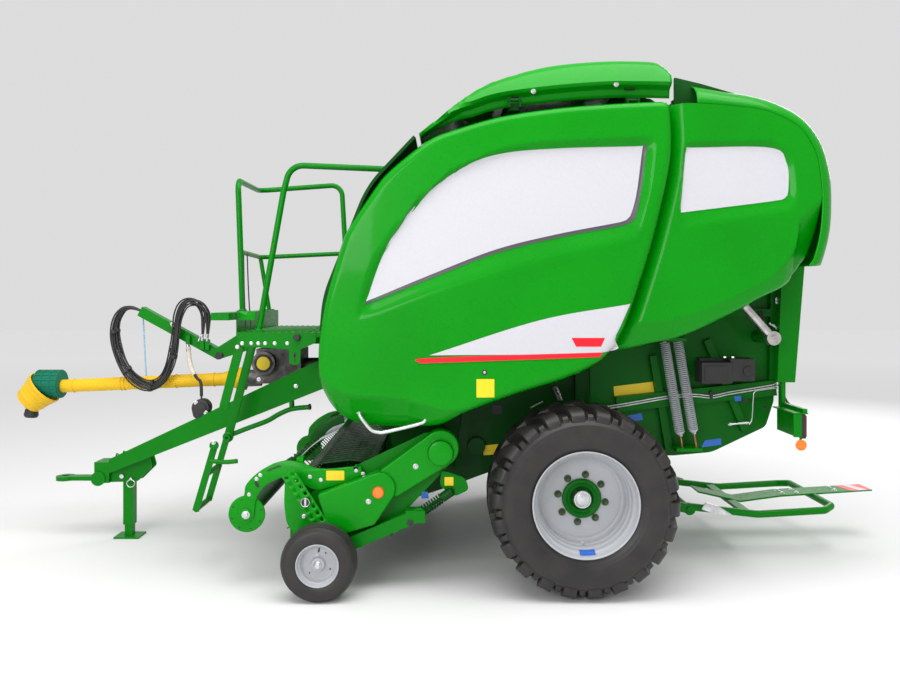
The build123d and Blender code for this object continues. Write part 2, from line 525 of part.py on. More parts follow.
def platform():
    deck = block((DECK_FRONT_X, DECK_REAR_X), (DECK_LEFT_Y, DECK_RIGHT_Y), (DECK_Z - DECK_THICK, DECK_Z))
    side = outline([(-2050, 1484), (-1570, 1484), (-1570, 1420), (-1665, 1380), (-1665, 1285),
                    (-1733, 1285), (-1733, 1380), (-2050, 1400)], [5, 10, 30, 10, 30, 30, 10, 30])
    deck += prism(side, DECK_LEFT_Y - 6, DECK_LEFT_Y)
    deck += block((-2056, -2050), (DECK_LEFT_Y, DECK_RIGHT_Y), (DECK_Z - DECK_THICK, 1605))
    deck += block((-2160, -2056), (-1020, DECK_RIGHT_Y), (1560, 1605))
    for y in (-560, 300):
        deck += block((-1900, -1300), (y - 30, y + 30), (1400, DECK_Z - DECK_THICK))
    deck += block((-2056, -2030), (-80, 80), (1350, 1460))
    keep("platform", deck)
    front = pipe([(-2090, -560, 1609), (-2120, -560, 2450), (-2190, DECK_RIGHT_Y - 20, 2500),
                  (-1570, DECK_RIGHT_Y - 20, 2545), (-1510, DECK_RIGHT_Y - 20, 1493)],
                 RAIL_RADIUS, [80, 80, 80])
    middle = pipe([(-2104, -560, 1990), (-2176, DECK_RIGHT_Y - 20, 2000),
                   (-1541, DECK_RIGHT_Y - 20, 2030)],
                  RAIL_RADIUS - 2, [70])
    front += middle
    front += bar((-2100, DECK_RIGHT_Y - 90, 1609), (-2165, DECK_RIGHT_Y - 90, 2000), RAIL_RADIUS - 3)
    for y in (-560, DECK_RIGHT_Y - 90):
        front += block((-2122, -2066), (y - 28, y + 28), (1605, 1613))
    front += block((-1539, -1481), (DECK_RIGHT_Y - 49, DECK_RIGHT_Y - 1), (DECK_Z, 1497))
    hand = pipe([(-1926, DECK_LEFT_Y + 30, 1489), (-1774, DECK_LEFT_Y + 30, 2341),
                 (-1731, DECK_LEFT_Y + 30, 2505),
                 (-1154, DECK_LEFT_Y + 30, 2480)], RAIL_RADIUS, [120, 100])
    hand += block((-1955, -1897), (DECK_LEFT_Y + 1, DECK_LEFT_Y + 59), (DECK_Z, 1494))
    keep("platform_rails", front + hand - nodes["front_panel"])
    ladder = bar((-2041, LADDER_LEFT_Y, 1411), (-2200, LADDER_LEFT_Y, 789), STRINGER_RADIUS)
    ladder += bar((-2041, LADDER_RIGHT_Y, 1411), (-2200, LADDER_RIGHT_Y, 789), STRINGER_RADIUS)
    for z in (1300, 1060, 830):
        x = -2041 - (1411 - z) * 159 / 622
        ladder += bar((x, LADDER_LEFT_Y, z), (x, LADDER_RIGHT_Y, z), STRINGER_RADIUS)
    for y in (LADDER_LEFT_Y, LADDER_RIGHT_Y):
        ladder += block((-2062, -2020), (y - 6, y + 6), (1390, DECK_Z - DECK_THICK))
    ladder += pipe([(STEP_PIVOT_X + 20, LADDER_RIGHT_Y + 20, 800), (-1940, LADDER_RIGHT_Y + 20, 893),
                    (-1827, LADDER_RIGHT_Y + 20, 963), (-1679, LADDER_RIGHT_Y + 20, 980)], 18, [60, 60])
    ladder += bar((-1790, LADDER_RIGHT_Y + 30, 965), (-1800, LADDER_RIGHT_Y + 60, 1080), 20)
    for y in (LADDER_LEFT_Y, LADDER_RIGHT_Y):
        ladder += disc(STEP_PIVOT_X, STEP_PIVOT_Z, 26, y - 8, y + 8)
    ladder += bar((STEP_PIVOT_X, LADDER_LEFT_Y - 22, STEP_PIVOT_Z),
                  (STEP_PIVOT_X, LADDER_LEFT_Y + 40, STEP_PIVOT_Z), 9)
    ladder += bar((STEP_PIVOT_X, LADDER_RIGHT_Y - 40, STEP_PIVOT_Z),
                  (STEP_PIVOT_X, LADDER_RIGHT_Y + 22, STEP_PIVOT_Z), 9)
    keep("ladder", ladder - nodes["drawbar"] - nodes["platform"])
    low = (-2318, 385)
    step = None
    for y in (LADDER_LEFT_Y + 30, LADDER_RIGHT_Y - 30):
        rail = beam((STEP_PIVOT_X, y, STEP_PIVOT_Z), (low[0], y, low[1]), 12, 40)
        rail += disc(STEP_PIVOT_X, STEP_PIVOT_Z, 22, y - 6, y + 6)
        rail -= disc(STEP_PIVOT_X, STEP_PIVOT_Z, 9 + SEAT_GAP, y - 7, y + 7)
        step = rail if step is None else step + rail
    for share in (0.45, 0.98):
        x = STEP_PIVOT_X + (low[0] - STEP_PIVOT_X) * share
        z = STEP_PIVOT_Z + (low[1] - STEP_PIVOT_Z) * share
        step += bar((x, LADDER_LEFT_Y + 30, z), (x, LADDER_RIGHT_Y - 30, z), STRINGER_RADIUS)
    keep("ladder_step", step)


# Pickup: side plates, chain covers, bands, reel, windrow guard and gauge wheels
def pickup():
    frame_face = outline([(-900, 905), (-740, 905), (-720, 760), (-1060, 400), (-1130, 300), (-1420, 262),
                          (-1690, 280), (-1690, 400), (-1560, 560), (-1330, 700)],
                         [60, 60, 60, 60, 60, 40, 20, 40, 60, 40])
    side = prism(frame_face, -PICKUP_WALL_Y - PICKUP_WALL, -PICKUP_WALL_Y)
    side -= disc(REEL_X, REEL_Z, 40 + SEAT_GAP, -PICKUP_WALL_Y - PICKUP_WALL - 1, -PICKUP_WALL_Y + 1)
    side -= disc(PICKUP_X, PICKUP_Z, PICKUP_STUB + SEAT_GAP, -PICKUP_WALL_Y - PICKUP_WALL - 1,
                 -PICKUP_WALL_Y + 1)
    side += disc(GUARD_PIVOT_X, GUARD_PIVOT_Z, 14, -GUARD_Y - 26, -PICKUP_WALL_Y - 1)
    arm = beam((-957, -1100, 435), (-1324, -1100, 282), 60, 75)
    arm += block((-1010, -900), (-1131, -PICKUP_WALL_Y - 1), (400, 470))
    arm += beam((-1324, -1100, 282), (GAUGE_X, -1100, GAUGE_Z), 60, 60)
    arm += disc(GAUGE_X, GAUGE_Z, 16, -GAUGE_OUTER_Y + 40, -1071)
    keep("pickup_side", side + arm, True)
    cross = block((-1238, -1196), (-PICKUP_WALL_Y, PICKUP_WALL_Y), (696, 738))
    cross += block((-1150, -1092), (-PICKUP_WALL_Y, PICKUP_WALL_Y), (302, 360))
    cover = disc(PICKUP_X, PICKUP_Z, COVER_RADIUS, -UPPER_COVER_Y, -PICKUP_WALL_Y - PICKUP_WALL)
    link = outline([(-1153, 701), (-867, 914), (-747, 741), (-1058, 549)])
    cover += prism(link, -UPPER_COVER_Y, -PICKUP_WALL_Y - PICKUP_WALL)
    cover += disc(PICKUP_X, PICKUP_Z - 22, PICKUP_BOSS, -UPPER_COVER_Y - 36, -UPPER_COVER_Y)
    cover += disc(-1161, 600, 93, -LOWER_COVER_Y, -PICKUP_WALL_Y - PICKUP_WALL)
    case = outline([(-1512, 563), (-1196, 686), (-1073, 570), (-1184, 392), (-1400, 338), (-1452, 420)],
                   [12, 0, 0, 40, 20, 20])
    cover += prism(case, -LOWER_COVER_Y, -PICKUP_WALL_Y - PICKUP_WALL)
    keep("chain_covers", both(cover))
    strip = [(-1196, 712), (-1360, 722), (-1540, 700), (-1660, 620), (-1722, 500), (-1708, 370), (-1620, 268),
             (-1480, 226), (-1300, 250), (-1150, 312)]
    line = Polyline(*strip)
    band_face = make_face(offset(line, amount=3, side=Side.RIGHT, closed=True))
    band = prism(band_face, -TINE_PITCH / 2 + 10, TINE_PITCH / 2 - 10)
    bands = cross
    for place in range(TINES_PER_BAR):
        y = (place - (TINES_PER_BAR - 1) / 2) * TINE_PITCH
        bands += Pos(0, y, 0) * band
    keep("pickup_bands", bands)
    reel = disc(REEL_X, REEL_Z, 40, -PICKUP_WALL_Y - PICKUP_WALL / 2, PICKUP_WALL_Y + PICKUP_WALL / 2)
    for y in (-PICKUP_WALL_Y + 12, -TINE_PITCH / 2, PICKUP_WALL_Y - 20):
        reel += disc(REEL_X, REEL_Z, REEL_BAR_RADIUS + 16, y, y + 8)
    tines = []
    for place in range(TINES_PER_BAR - 1):
        y = (place + 1 - TINES_PER_BAR / 2) * TINE_PITCH
        tines.append(Pos(0, y, (REEL_BAR_RADIUS + TINE_RADIUS) / 2)
                     * Box(TINE_WIRE, TINE_WIRE, TINE_RADIUS - REEL_BAR_RADIUS))
    row = disc(0, REEL_BAR_RADIUS, 13, -PICKUP_WALL_Y + 12, PICKUP_WALL_Y - 12) + tines
    for place in range(TINE_BARS):
        reel += Pos(REEL_X, 0, REEL_Z) * Rot(0, 24 + place * 360 / TINE_BARS, 0) * row
    keep("tine_reel", reel)


def gauge_wheels():
    tyre = outline([(GAUGE_RIM, 10), (150, 0), (GAUGE_Z - 12, 12), (GAUGE_Z, 40),
                    (GAUGE_Z, GAUGE_WIDTH - 40),
                    (GAUGE_Z - 12, GAUGE_WIDTH - 12), (150, GAUGE_WIDTH), (GAUGE_RIM, GAUGE_WIDTH - 10)])
    wheel = turned(tyre, GAUGE_X, GAUGE_Z, -GAUGE_OUTER_Y)
    keep("gauge_tyre", wheel, True)
    rim = outline([(GAUGE_RIM, 10), (GAUGE_RIM, GAUGE_WIDTH - 10), (GAUGE_RIM - 12, GAUGE_WIDTH - 10),
                   (GAUGE_RIM - 20, 90), (16 + SEAT_GAP, 90), (16 + SEAT_GAP, 30), (40, 30), (40, 80),
                   (GAUGE_RIM - 25, 70), (GAUGE_RIM - 12, 10)])
    keep("gauge_rim", turned(rim, GAUGE_X, GAUGE_Z, -GAUGE_OUTER_Y), True)


def windrow_guard():
    arm = outline([(-1330, 665), (-1275, 690), (-1275, 735), (-1700, 775), (-1860, 640), (-2000, 440),
                   (-1940, 385),
                   (-1780, 590), (-1690, 680)], [20, 20, 20, 80, 40, 60, 60, 60, 60])
    side = prism(arm, -GUARD_Y - 20, -GUARD_Y)
    side += disc(GUARD_X, GUARD_Z, GUARD_DISC, -GUARD_Y - 20, -GUARD_Y + DISC_LIP)
    side -= disc(GUARD_PIVOT_X, GUARD_PIVOT_Z, 14 + SEAT_GAP, -GUARD_Y - 21, -GUARD_Y + 1)
    keep("windrow_guard", both(side))
    bars = block((-1650, -1610), (-GUARD_Y, GUARD_Y), (733, 763))
    comb = Part()
    for place in range(COMB_FINGERS):
        y = (place - (COMB_FINGERS - 1) / 2) * COMB_PITCH
        comb += beam((-1630, y, 748), (-1425, y, 900), 8, 8) - bars
    keep("windrow_comb", comb)
    bars += disc(GUARD_X, GUARD_Z, GUARD_SHAFT, -GUARD_Y + DISC_LIP, GUARD_Y - DISC_LIP)
    keep("windrow_bars", bars)
    roller = disc(GUARD_X, GUARD_Z, 45, -GUARD_Y + 12, GUARD_Y - 12)
    roller -= disc(GUARD_X, GUARD_Z, GUARD_SHAFT + SEAT_GAP, -GUARD_Y, GUARD_Y)
    keep("crop_roller", roller)


def intake():
    rotor = disc(ROTOR_X, ROTOR_Z, 70, -WALL_INNER_Y + 8, WALL_INNER_Y - 8)
    for place in range(ROTOR_STARS):
        y = (place - (ROTOR_STARS - 1) / 2) * 80
        star = None
        for turn in range(4):
            tooth = outline([(-30, 40), (30, 40), (25, 150), (-20, ROTOR_RADIUS)])
            tooth = Rot(0, 0, turn * 90 + place * 15) * tooth
            star = tooth if star is None else star + tooth
        rotor += prism(Pos(ROTOR_X, ROTOR_Z) * star, y - 5, y + 5)
    rotor += disc(ROTOR_X, ROTOR_Z, ROTOR_SHAFT, -WALL_INNER_Y - WALL - 30, WALL_INNER_Y + WALL + 30)
    keep("feed_rotor", rotor)
    roller = disc(STARTER_X, STARTER_Z, STARTER_RADIUS, -WALL_INNER_Y + 8, WALL_INNER_Y - 8)
    roller += disc(STARTER_X, STARTER_Z, ROTOR_SHAFT, -WALL_INNER_Y - WALL - 30, WALL_INNER_Y + WALL + 30)
    keep("starter_roller", roller)


def bale_ramp():
    tube = pipe([(RAMP_X, -RAMP_Y, RAMP_Z), (1283, -RAMP_Y, 260), (1727, -RAMP_Y, 286),
                 (1800, -RAMP_Y + 60, 300), (1800, RAMP_Y - 60, 300), (1727, RAMP_Y, 286),
                 (1283, RAMP_Y, 260), (RAMP_X, RAMP_Y, RAMP_Z)],
                RAMP_TUBE, [300, 40, 40, 40, 40, 300])
    plate = outline([(983, 329), (1280, 262), (1560, 300), (2202, 342), (2202, 350), (1560, 312),
                     (1280, 274), (983, 341)])
    ramp = tube + prism(plate, -90, 90)
    ramp += block((1180, 1240), (-RAMP_Y, RAMP_Y), (262, 282))
    ramp += bar((RAMP_X, -RAMP_Y - 95, RAMP_Z), (RAMP_X, RAMP_Y + 95, RAMP_Z), 20)
    keep("bale_ramp", ramp)


def tailgate_rams():
    anchor = Vector(RAM_ANCHOR_X, -RAM_Y, RAM_ANCHOR_Z)
    eye = Vector(RAM_EYE_X, -RAM_Y, RAM_EYE_Z)
    way = (eye - anchor).normalized()
    length = (eye - anchor).length
    barrel = bar(anchor + way * 40, anchor + way * (length - 260), RAM_BARREL)
    barrel += disc(RAM_ANCHOR_X, RAM_ANCHOR_Z, 42, -RAM_Y - 25, -RAM_Y + 25)
    barrel -= disc(RAM_ANCHOR_X, RAM_ANCHOR_Z, RAM_PIN + SEAT_GAP, -RAM_Y - 26, -RAM_Y + 26)
    barrel -= bar(anchor + way * 120, anchor + way * (length - 250), RAM_ROD + SEAT_GAP)
    keep("ram_barrels", both(barrel))
    rod = bar(anchor + way * 200, anchor + way * (length - 40), RAM_ROD)
    rod += disc(RAM_EYE_X, RAM_EYE_Z, 42, -RAM_Y - RAM_EYE_HALF, -RAM_Y + RAM_EYE_HALF)
    rod += disc(RAM_EYE_X, RAM_EYE_Z, RAM_PIN, -RAM_Y - RAM_EYE_HALF - 12, -RAM_Y - RAM_EYE_HALF + 1)
    keep("ram_rods", both(rod))


def belts():
    """Round belts over the tailgate's rollers, each a loop drawn round all of them."""
    rollers = None
    for x, z in BELT_ROLLERS:
        roller = disc(x, z, ROLLER_RADIUS, -WALL_INNER_Y + SEAT_GAP, WALL_INNER_Y - SEAT_GAP)
        rollers = roller if rollers is None else rollers + roller
    keep("tailgate_rollers", rollers)
    seat = ROLLER_RADIUS + SEAT_GAP
    inner = make_hull([Pos(x, z) * Edge.make_circle(seat) for x, z in BELT_ROLLERS])
    outer = make_hull([Pos(x, z) * Edge.make_circle(seat + BELT_THICK) for x, z in BELT_ROLLERS])
    loop = outer - inner
    strips = None
    for place in range(BELT_COUNT):
        y = (place - (BELT_COUNT - 1) / 2) * BELT_PITCH
        strip = prism(loop, y - BELT_WIDTH / 2, y + BELT_WIDTH / 2)
        strips = strip if strips is None else strips + strip
    keep("tailgate_belts", strips)


def tailgate_fittings():
    box = block((772, 1107), (-860, -700), (1170, 1331))
    box += block((800, 1080), (-720, -WALL_INNER_Y - WALL), (1290, 1320))
    keep("lubricator", box - nodes["tailgate_wall_left"])
    springs = None
    holders = block((545, 700), (-785, -650), (1425, 1445)) + block((640, 800), (-785, -650), (745, 765))
    for x_top, z_top, x_low, z_low in ((576, 1410, 669, 861), (657, 1420, 753, 875)):
        spring = bar((x_top, -745, z_top), (x_low, -745, z_low), 32)
        way_x = (x_low - x_top) / (z_low - z_top)
        rod = bar((x_top + way_x * (1440 - z_top), -745, 1440),
                  (x_low + way_x * (750 - z_low), -745, 750), 8)
        spring = both(spring + rod)
        springs = spring if springs is None else springs + spring
    nodes["tailgate_beams"] += both(holders)
    nodes["tailgate_beams"] -= nodes["tailgate_wall_left"] + nodes["tailgate_wall_right"]
    keep("tension_springs", springs - nodes["tailgate_beams"])
    lamp = block((1262, 1325), (-1060, -760), (870, 1015))
    keep("rear_lamps", both(lamp))


def hose(points):
    """Hose tube through the points, its bends as wide as the runs allow."""
    bends = []
    for before, corner, after in zip(points, points[1:], points[2:]):
        run_in = Vector(*corner) - Vector(*before)
        run_out = Vector(*after) - Vector(*corner)
        half_turn = math.radians(run_in.get_angle(run_out)) / 2
        bends.append(0.45 * min(run_in.length, run_out.length) / math.tan(half_turn))
    print("hose bends", [round(bend) for bend in bends])
    return pipe(points, HOSE_RADIUS, bends)


def hoses():
    for name, points in HOSE_ROUTES.items():
        keep(name, hose(points))
    clip = block((-2500, -2400), (-286, -212), (876, 1010))
    keep("hose_bracket", clip - nodes["drawbar"])


def cords():
    rope = pipe([(-2941, 0, 1560), (-2930, 0, 1350), (-2918, 0, 1130)], 5, [400])
    keep("shaft_rope", rope - nodes["hose_arm"] - nodes["shaft_guard"])


def build_all():
    main_wheels()
    axle()
    chamber_walls()
    tailgate_walls()
    side_doors()
    tailgate_panels()
    hood()
    drawbar()
    jack()
    drive()
    hose_arm()
    platform()
    pickup()
    gauge_wheels()
    windrow_guard()
    intake()
    bale_ramp()
    tailgate_rams()
    tailgate_fittings()
    belts()
    hoses()
    cords()


build_all()
whole = Compound(list(nodes.values())).bounding_box()
middle_x = (whole.min.X + whole.max.X) / 2
os.makedirs("parts", exist_ok=True)
for name, solid in nodes.items():
    export_step(Pos(-middle_x, 0, 0) * solid, f"parts/{name}.step")
print("nodes", len(nodes), "middle", round(middle_x, 2), "box", whole)
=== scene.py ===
import math
import bmesh
import bpy
import numpy as np
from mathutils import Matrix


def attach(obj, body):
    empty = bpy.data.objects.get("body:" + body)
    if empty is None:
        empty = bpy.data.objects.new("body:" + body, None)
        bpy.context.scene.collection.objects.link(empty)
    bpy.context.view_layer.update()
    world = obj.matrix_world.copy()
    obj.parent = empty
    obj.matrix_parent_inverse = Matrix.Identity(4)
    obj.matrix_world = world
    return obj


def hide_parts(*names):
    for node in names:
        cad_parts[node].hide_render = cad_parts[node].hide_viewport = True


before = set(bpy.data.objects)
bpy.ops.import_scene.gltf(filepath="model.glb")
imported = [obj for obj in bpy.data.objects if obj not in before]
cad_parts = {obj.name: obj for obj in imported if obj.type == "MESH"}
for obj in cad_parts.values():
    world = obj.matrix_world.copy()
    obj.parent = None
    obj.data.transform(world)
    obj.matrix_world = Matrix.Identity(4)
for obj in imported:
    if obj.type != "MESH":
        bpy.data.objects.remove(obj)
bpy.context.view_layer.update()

# Places are written in millimetres from the axle, the machine's middle and the floor,
# and at() turns them into metres in the frame.
AXLE_X = 792.464
DOOR_Y = 1250
PANEL_Y = 1190
HOOD_Y = 1145
LEFT = (0, -1, 0)
MIRROR = (1, -1, 1)
SIDES = (("left", False), ("right", True))
PAIRED_BODIES = ("wheel", "gauge_wheel", "door")


def at(points):
    """Millimetres from the axle to metres in the frame."""
    return (np.asarray(points, dtype=float) + (AXLE_X, 0, 0)) / 1000


# Camera, light and floor

LENS = 32.68
SENSOR_WIDTH = 36
LENS_SHIFT = -0.0417
CAMERA_PLACE = (-756, -5816, 1680)


def stand_camera():
    """Upright camera level with the machine's flank, looking across it."""
    camera = bpy.data.objects.new("camera", bpy.data.cameras.new("camera"))
    camera.data.lens = LENS
    camera.data.sensor_width = SENSOR_WIDTH
    camera.data.clip_end = 100
    camera.data.shift_y = LENS_SHIFT
    camera.location = at(CAMERA_PLACE)
    camera.rotation_euler = (math.radians(90), 0, 0)
    bpy.context.collection.objects.link(camera)
    bpy.context.scene.camera = camera


def soft_light(name, place, aim, width, height, power):
    """Area light of a width and height in metres that looks at a point."""
    data = bpy.data.lights.new(name, "AREA")
    data.shape, data.size, data.size_y, data.energy = "RECTANGLE", width, height, power
    lamp = bpy.data.objects.new(name, data)
    lamp.location = place
    way = np.array(aim, dtype=float) - np.array(place, dtype=float)
    lamp.rotation_euler = (math.atan2(math.hypot(way[0], way[1]), -way[2]), 0,
        math.atan2(way[1], way[0]) - math.pi / 2)
    bpy.context.collection.objects.link(lamp)


def light_stage():
    """Even grey world with three soft boxes: above, before and behind the machine."""
    world = bpy.data.worlds.new("studio")
    bpy.context.scene.world = world
    world.use_nodes = True
    world.node_tree.nodes["Background"].inputs["Color"].default_value = (0.80, 0.80, 0.80, 1)
    world.node_tree.nodes["Background"].inputs["Strength"].default_value = 0.9
    soft_light("top_box", (0.5, -2.6, 7.0), (0, -0.4, 1.0), 8, 4, 430)
    soft_light("front_box", (-3.5, -8.5, 3.6), (0, 0, 1.2), 4, 3, 230)
    soft_light("rear_box", (5.5, 6.5, 5.0), (0, 0, 1.2), 4, 3, 200)
    bpy.context.scene.view_settings.view_transform = "Standard"


def lay_floor():
    """Flat pale floor with a faint glow that grows with the distance from the middle."""
    mesh = bpy.data.meshes.new("floor")
    mesh.from_pydata([(-40, -40, 0), (40, -40, 0), (40, 40, 0), (-40, 40, 0)], [], [(0, 1, 2, 3)])
    floor = bpy.data.objects.new("floor", mesh)
    bpy.context.collection.objects.link(floor)
    material, tree, shader, where = material_of("pale_floor")
    shader.inputs["Base Color"].default_value = (0.80, 0.80, 0.80, 1)
    shader.inputs["Roughness"].default_value = 0.9
    shader.inputs["Specular IOR Level"].default_value = 0.0
    ball = tree.nodes.new("ShaderNodeTexGradient")
    ball.gradient_type = "SPHERICAL"
    shrink = tree.nodes.new("ShaderNodeMapping")
    shrink.inputs["Scale"].default_value = (0.05, 0.05, 0.05)
    tree.links.new(where.outputs["Object"], shrink.inputs["Vector"])
    tree.links.new(shrink.outputs["Vector"], ball.inputs["Vector"])
    glow = spread(tree, ball.outputs["Fac"], [(0.0, grey(0.155)), (0.8, grey(0.0))])
    tree.links.new(glow, shader.inputs["Emission Color"])
    shader.inputs["Emission Strength"].default_value = 1.0
    floor.data.materials.append(material)


# Meshes from arrays

def smooth_line(points, count):
    """Catmull-Rom curve through the points, then equal steps along its length."""
    points = np.asarray(points, dtype=float)
    padded = np.vstack([2 * points[0] - points[1], points, 2 * points[-1] - points[-2]])
    share = np.linspace(0, 1, 24, endpoint=False)[:, None, None]
    a, b, c, d = (padded[k:len(padded) - 3 + k][None] for k in range(4))
    curve = 0.5 * (2 * b + (c - a) * share + (2 * a - 5 * b + 4 * c - d) * share ** 2
        + (3 * b - a - 3 * c + d) * share ** 3)
    curve = np.vstack([curve.transpose(1, 0, 2).reshape(-1, points.shape[1]), points[-1]])
    return even_line(curve, count)


def even_line(points, count):
    """Equal steps along straight runs."""
    points = np.asarray(points, dtype=float)
    steps = np.concatenate([[0], np.cumsum(np.linalg.norm(np.diff(points, axis=0), axis=1))])
    wanted = np.linspace(0, steps[-1], count)
    return np.stack([np.interp(wanted, steps, points[:, k]) for k in range(points.shape[1])], axis=1)


def grid_faces(rows, columns, wrap_rows=False, wrap_columns=False):
    """Quads over a grid of rows and columns that may close on itself."""
    r = np.arange(rows if wrap_rows else rows - 1)
    c = np.arange(columns if wrap_columns else columns - 1)
    r, c = np.meshgrid(r, c, indexing="ij")
    r, c = r.ravel(), c.ravel()
    r2, c2 = (r + 1) % rows, (c + 1) % columns
    return np.stack([r * columns + c, r2 * columns + c, r2 * columns + c2, r * columns + c2], axis=1)


def distance(places, line, closed=True):
    """Shortest distance of each place to a line of straight runs, both in the same plane."""
    line = np.asarray(line, dtype=float)
    start = line if closed else line[:-1]
    end = np.roll(line, -1, axis=0) if closed else line[1:]
    run = end - start
    square = np.maximum((run ** 2).sum(1), 1e-9)
    nearest = np.full(len(places), 1e9)
    for k in range(len(start)):
        share = np.clip(((places - start[k]) @ run[k]) / square[k], 0, 1)[:, None]
        nearest = np.minimum(nearest, np.linalg.norm(places - start[k] - share * run[k], axis=1))
    return nearest


def inside(places, line):
    """True for places inside a closed line, by counting its crossings of a ray."""
    line = np.asarray(line, dtype=float)
    x, z = places[:, 0], places[:, 1]
    odd = np.zeros(len(places), dtype=bool)
    for (x1, z1), (x2, z2) in zip(line, np.roll(line, -1, axis=0)):
        crosses = (z1 > z) != (z2 > z)
        rise = z2 - z1 if abs(z2 - z1) > 1e-9 else 1e-9
        odd ^= crosses & (x < (x2 - x1) * (z - z1) / rise + x1)
    return odd


def ease(share):
    """Smooth step from 0 to 1."""
    share = np.clip(share, 0, 1)
    return share * share * (3 - 2 * share)


def make_piece(name, parts, material, body, sharp=35, mirrored=False, mid_mirror=False, solid=True):
    """One object from parts, each its corners in millimetres and its faces. A mirrored piece is
    the same shape on the machine's other side, with its faces turned over. The faces of a solid
    piece are turned outwards."""
    corners, faces, count = [], [], 0
    for places, rings in parts:
        places = np.asarray(places, dtype=float).reshape(-1, 3)
        corners.append(places)
        faces += [[int(k) + count for k in ring] for ring in rings]
        count += len(places)
    corners = np.vstack(corners)
    if mirrored:
        corners = corners * MIRROR
        faces = [ring[::-1] for ring in faces]
    elif mid_mirror:
        faces += [[k + count for k in ring[::-1]] for ring in faces]
        corners = np.vstack([corners, corners * MIRROR])
    mesh = bpy.data.meshes.new(name)
    mesh.from_pydata(at(corners).tolist(), [], faces)
    if solid:
        shape = bmesh.new()
        shape.from_mesh(mesh)
        bmesh.ops.recalc_face_normals(shape, faces=shape.faces)
        shape.to_mesh(mesh)
        shape.free()
    mesh.update()
    mesh.polygons.foreach_set("use_smooth", np.ones(len(mesh.polygons), dtype=bool))
    mesh.set_sharp_from_angle(angle=math.radians(sharp))
    thing = bpy.data.objects.new(name, mesh)
    bpy.context.collection.objects.link(thing)
    thing.data.materials.append(material)
    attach(thing, body)
    return thing


def body_on(body, side):
    """The body's name, with its side where the body is one of a pair."""
    return f"{body}_{side}" if body in PAIRED_BODIES else body


def both_sides(name, parts, material, body, sharp=35, solid=True):
    """The left piece and its mirror twin, each on the body of its side."""
    return [make_piece(f"{name}_{side}", parts, material, body_on(body, side), sharp, mirrored, solid=solid)
        for side, mirrored in SIDES]


def thicken(thing, thickness, side):
    """A wall of a thickness in millimetres behind a surface."""
    wall = thing.modifiers.new("wall", "SOLIDIFY")
    wall.thickness = thickness / 1000
    wall.offset = side
    wall.use_rim = True


def soften(thing, width, segments=2):
    """Rounded edges of a width in millimetres."""
    edge = thing.modifiers.new("edge", "BEVEL")
    edge.width = width / 1000
    edge.segments = segments
    edge.limit_method = "ANGLE"
    edge.angle_limit = math.radians(40)


def axes_of(way):
    """Two unit directions across a way."""
    way = np.asarray(way, dtype=float)
    way = way / np.linalg.norm(way)
    side = np.cross(way, (0, 0, 1) if abs(way[2]) < 0.9 else (1, 0, 0))
    side /= np.linalg.norm(side)
    return way, side, np.cross(way, side)


def spun(profile, place, way=(0, 1, 0), steps=48, closed=False):
    """Profile of radius and height turned about an axis: place + height way
    + radius (cos a side + sin a up). An open profile is closed by its ends on the axis or by caps."""
    profile = np.asarray(profile, dtype=float)
    way, side, up = axes_of(way)
    turn = np.linspace(0, 2 * np.pi, steps, endpoint=False)
    ring = np.cos(turn)[:, None] * side + np.sin(turn)[:, None] * up
    corners = (np.asarray(place, dtype=float) + profile[None, :, 1, None] * way + profile[None, :, 0, None]
        * ring[:, None])
    count = len(profile)
    faces = grid_faces(steps, count, wrap_rows=True, wrap_columns=closed).tolist()
    if not closed:
        faces += [[k * count for k in range(steps)], [k * count + count - 1 for k in range(steps)][::-1]]
    return corners.reshape(-1, 3), faces


def carried(path, section, side=(0, 1, 0), sizes=None):
    """Closed section carried along a path: path + u across + v up, times a size that may change."""
    path, section = np.asarray(path, dtype=float), np.asarray(section, dtype=float)
    way = np.gradient(path, axis=0)
    way /= np.linalg.norm(way, axis=1)[:, None]
    side = np.broadcast_to(np.asarray(side, dtype=float), path.shape)
    across = side - way * (side * way).sum(1)[:, None]
    across /= np.linalg.norm(across, axis=1)[:, None]
    up = np.cross(way, across)
    sizes = np.ones(len(path)) if sizes is None else np.asarray(sizes)
    corners = path[:, None] + sizes[:, None, None] * (section[None, :, 0, None] * across[:, None]
        + section[None, :, 1, None] * up[:, None])
    count = len(section)
    faces = grid_faces(len(path), count, wrap_columns=True).tolist()
    last = (len(path) - 1) * count
    faces += [list(range(count))[::-1], list(range(last, last + count))]
    return corners.reshape(-1, 3), faces


def rod_line(radius, length):
    """Profile of a plain round rod."""
    return [(0, 0), (radius, 0), (radius, length), (0, length)]


def cap_line(radius, wall, crown, height):
    """Profile of a round cap: its wall, then a bevel in to its crown."""
    return [(0, 0), (radius, 0), (radius, wall), (crown, height), (0, height)]


def ring_section(radius, sides):
    """Corners of a round section."""
    turn = np.linspace(0, 2 * np.pi, sides, endpoint=False)
    return np.stack([radius * np.cos(turn), radius * np.sin(turn)], axis=1)


def tube(points, radius, sides, count, side=(0, 1, 0)):
    """Round rod along a smooth line that doesn't run along its side."""
    return carried(smooth_line(points, count), ring_section(radius, sides), side)


COIL_SIDES = 6
COIL_STEPS = 18


def coil(start, end, radius, wire, turns):
    """Helix: start + share (end - start) + radius (cos a side + sin a up), with a thin round section."""
    start, end = np.asarray(start, dtype=float), np.asarray(end, dtype=float)
    _, side, up = axes_of(end - start)
    share = np.linspace(0, 1, turns * COIL_STEPS + 1)[:, None]
    turn = 2 * np.pi * turns * share
    out = np.cos(turn) * side + np.sin(turn) * up
    return carried(start + share * (end - start) + radius * out, ring_section(wire, COIL_SIDES), out)


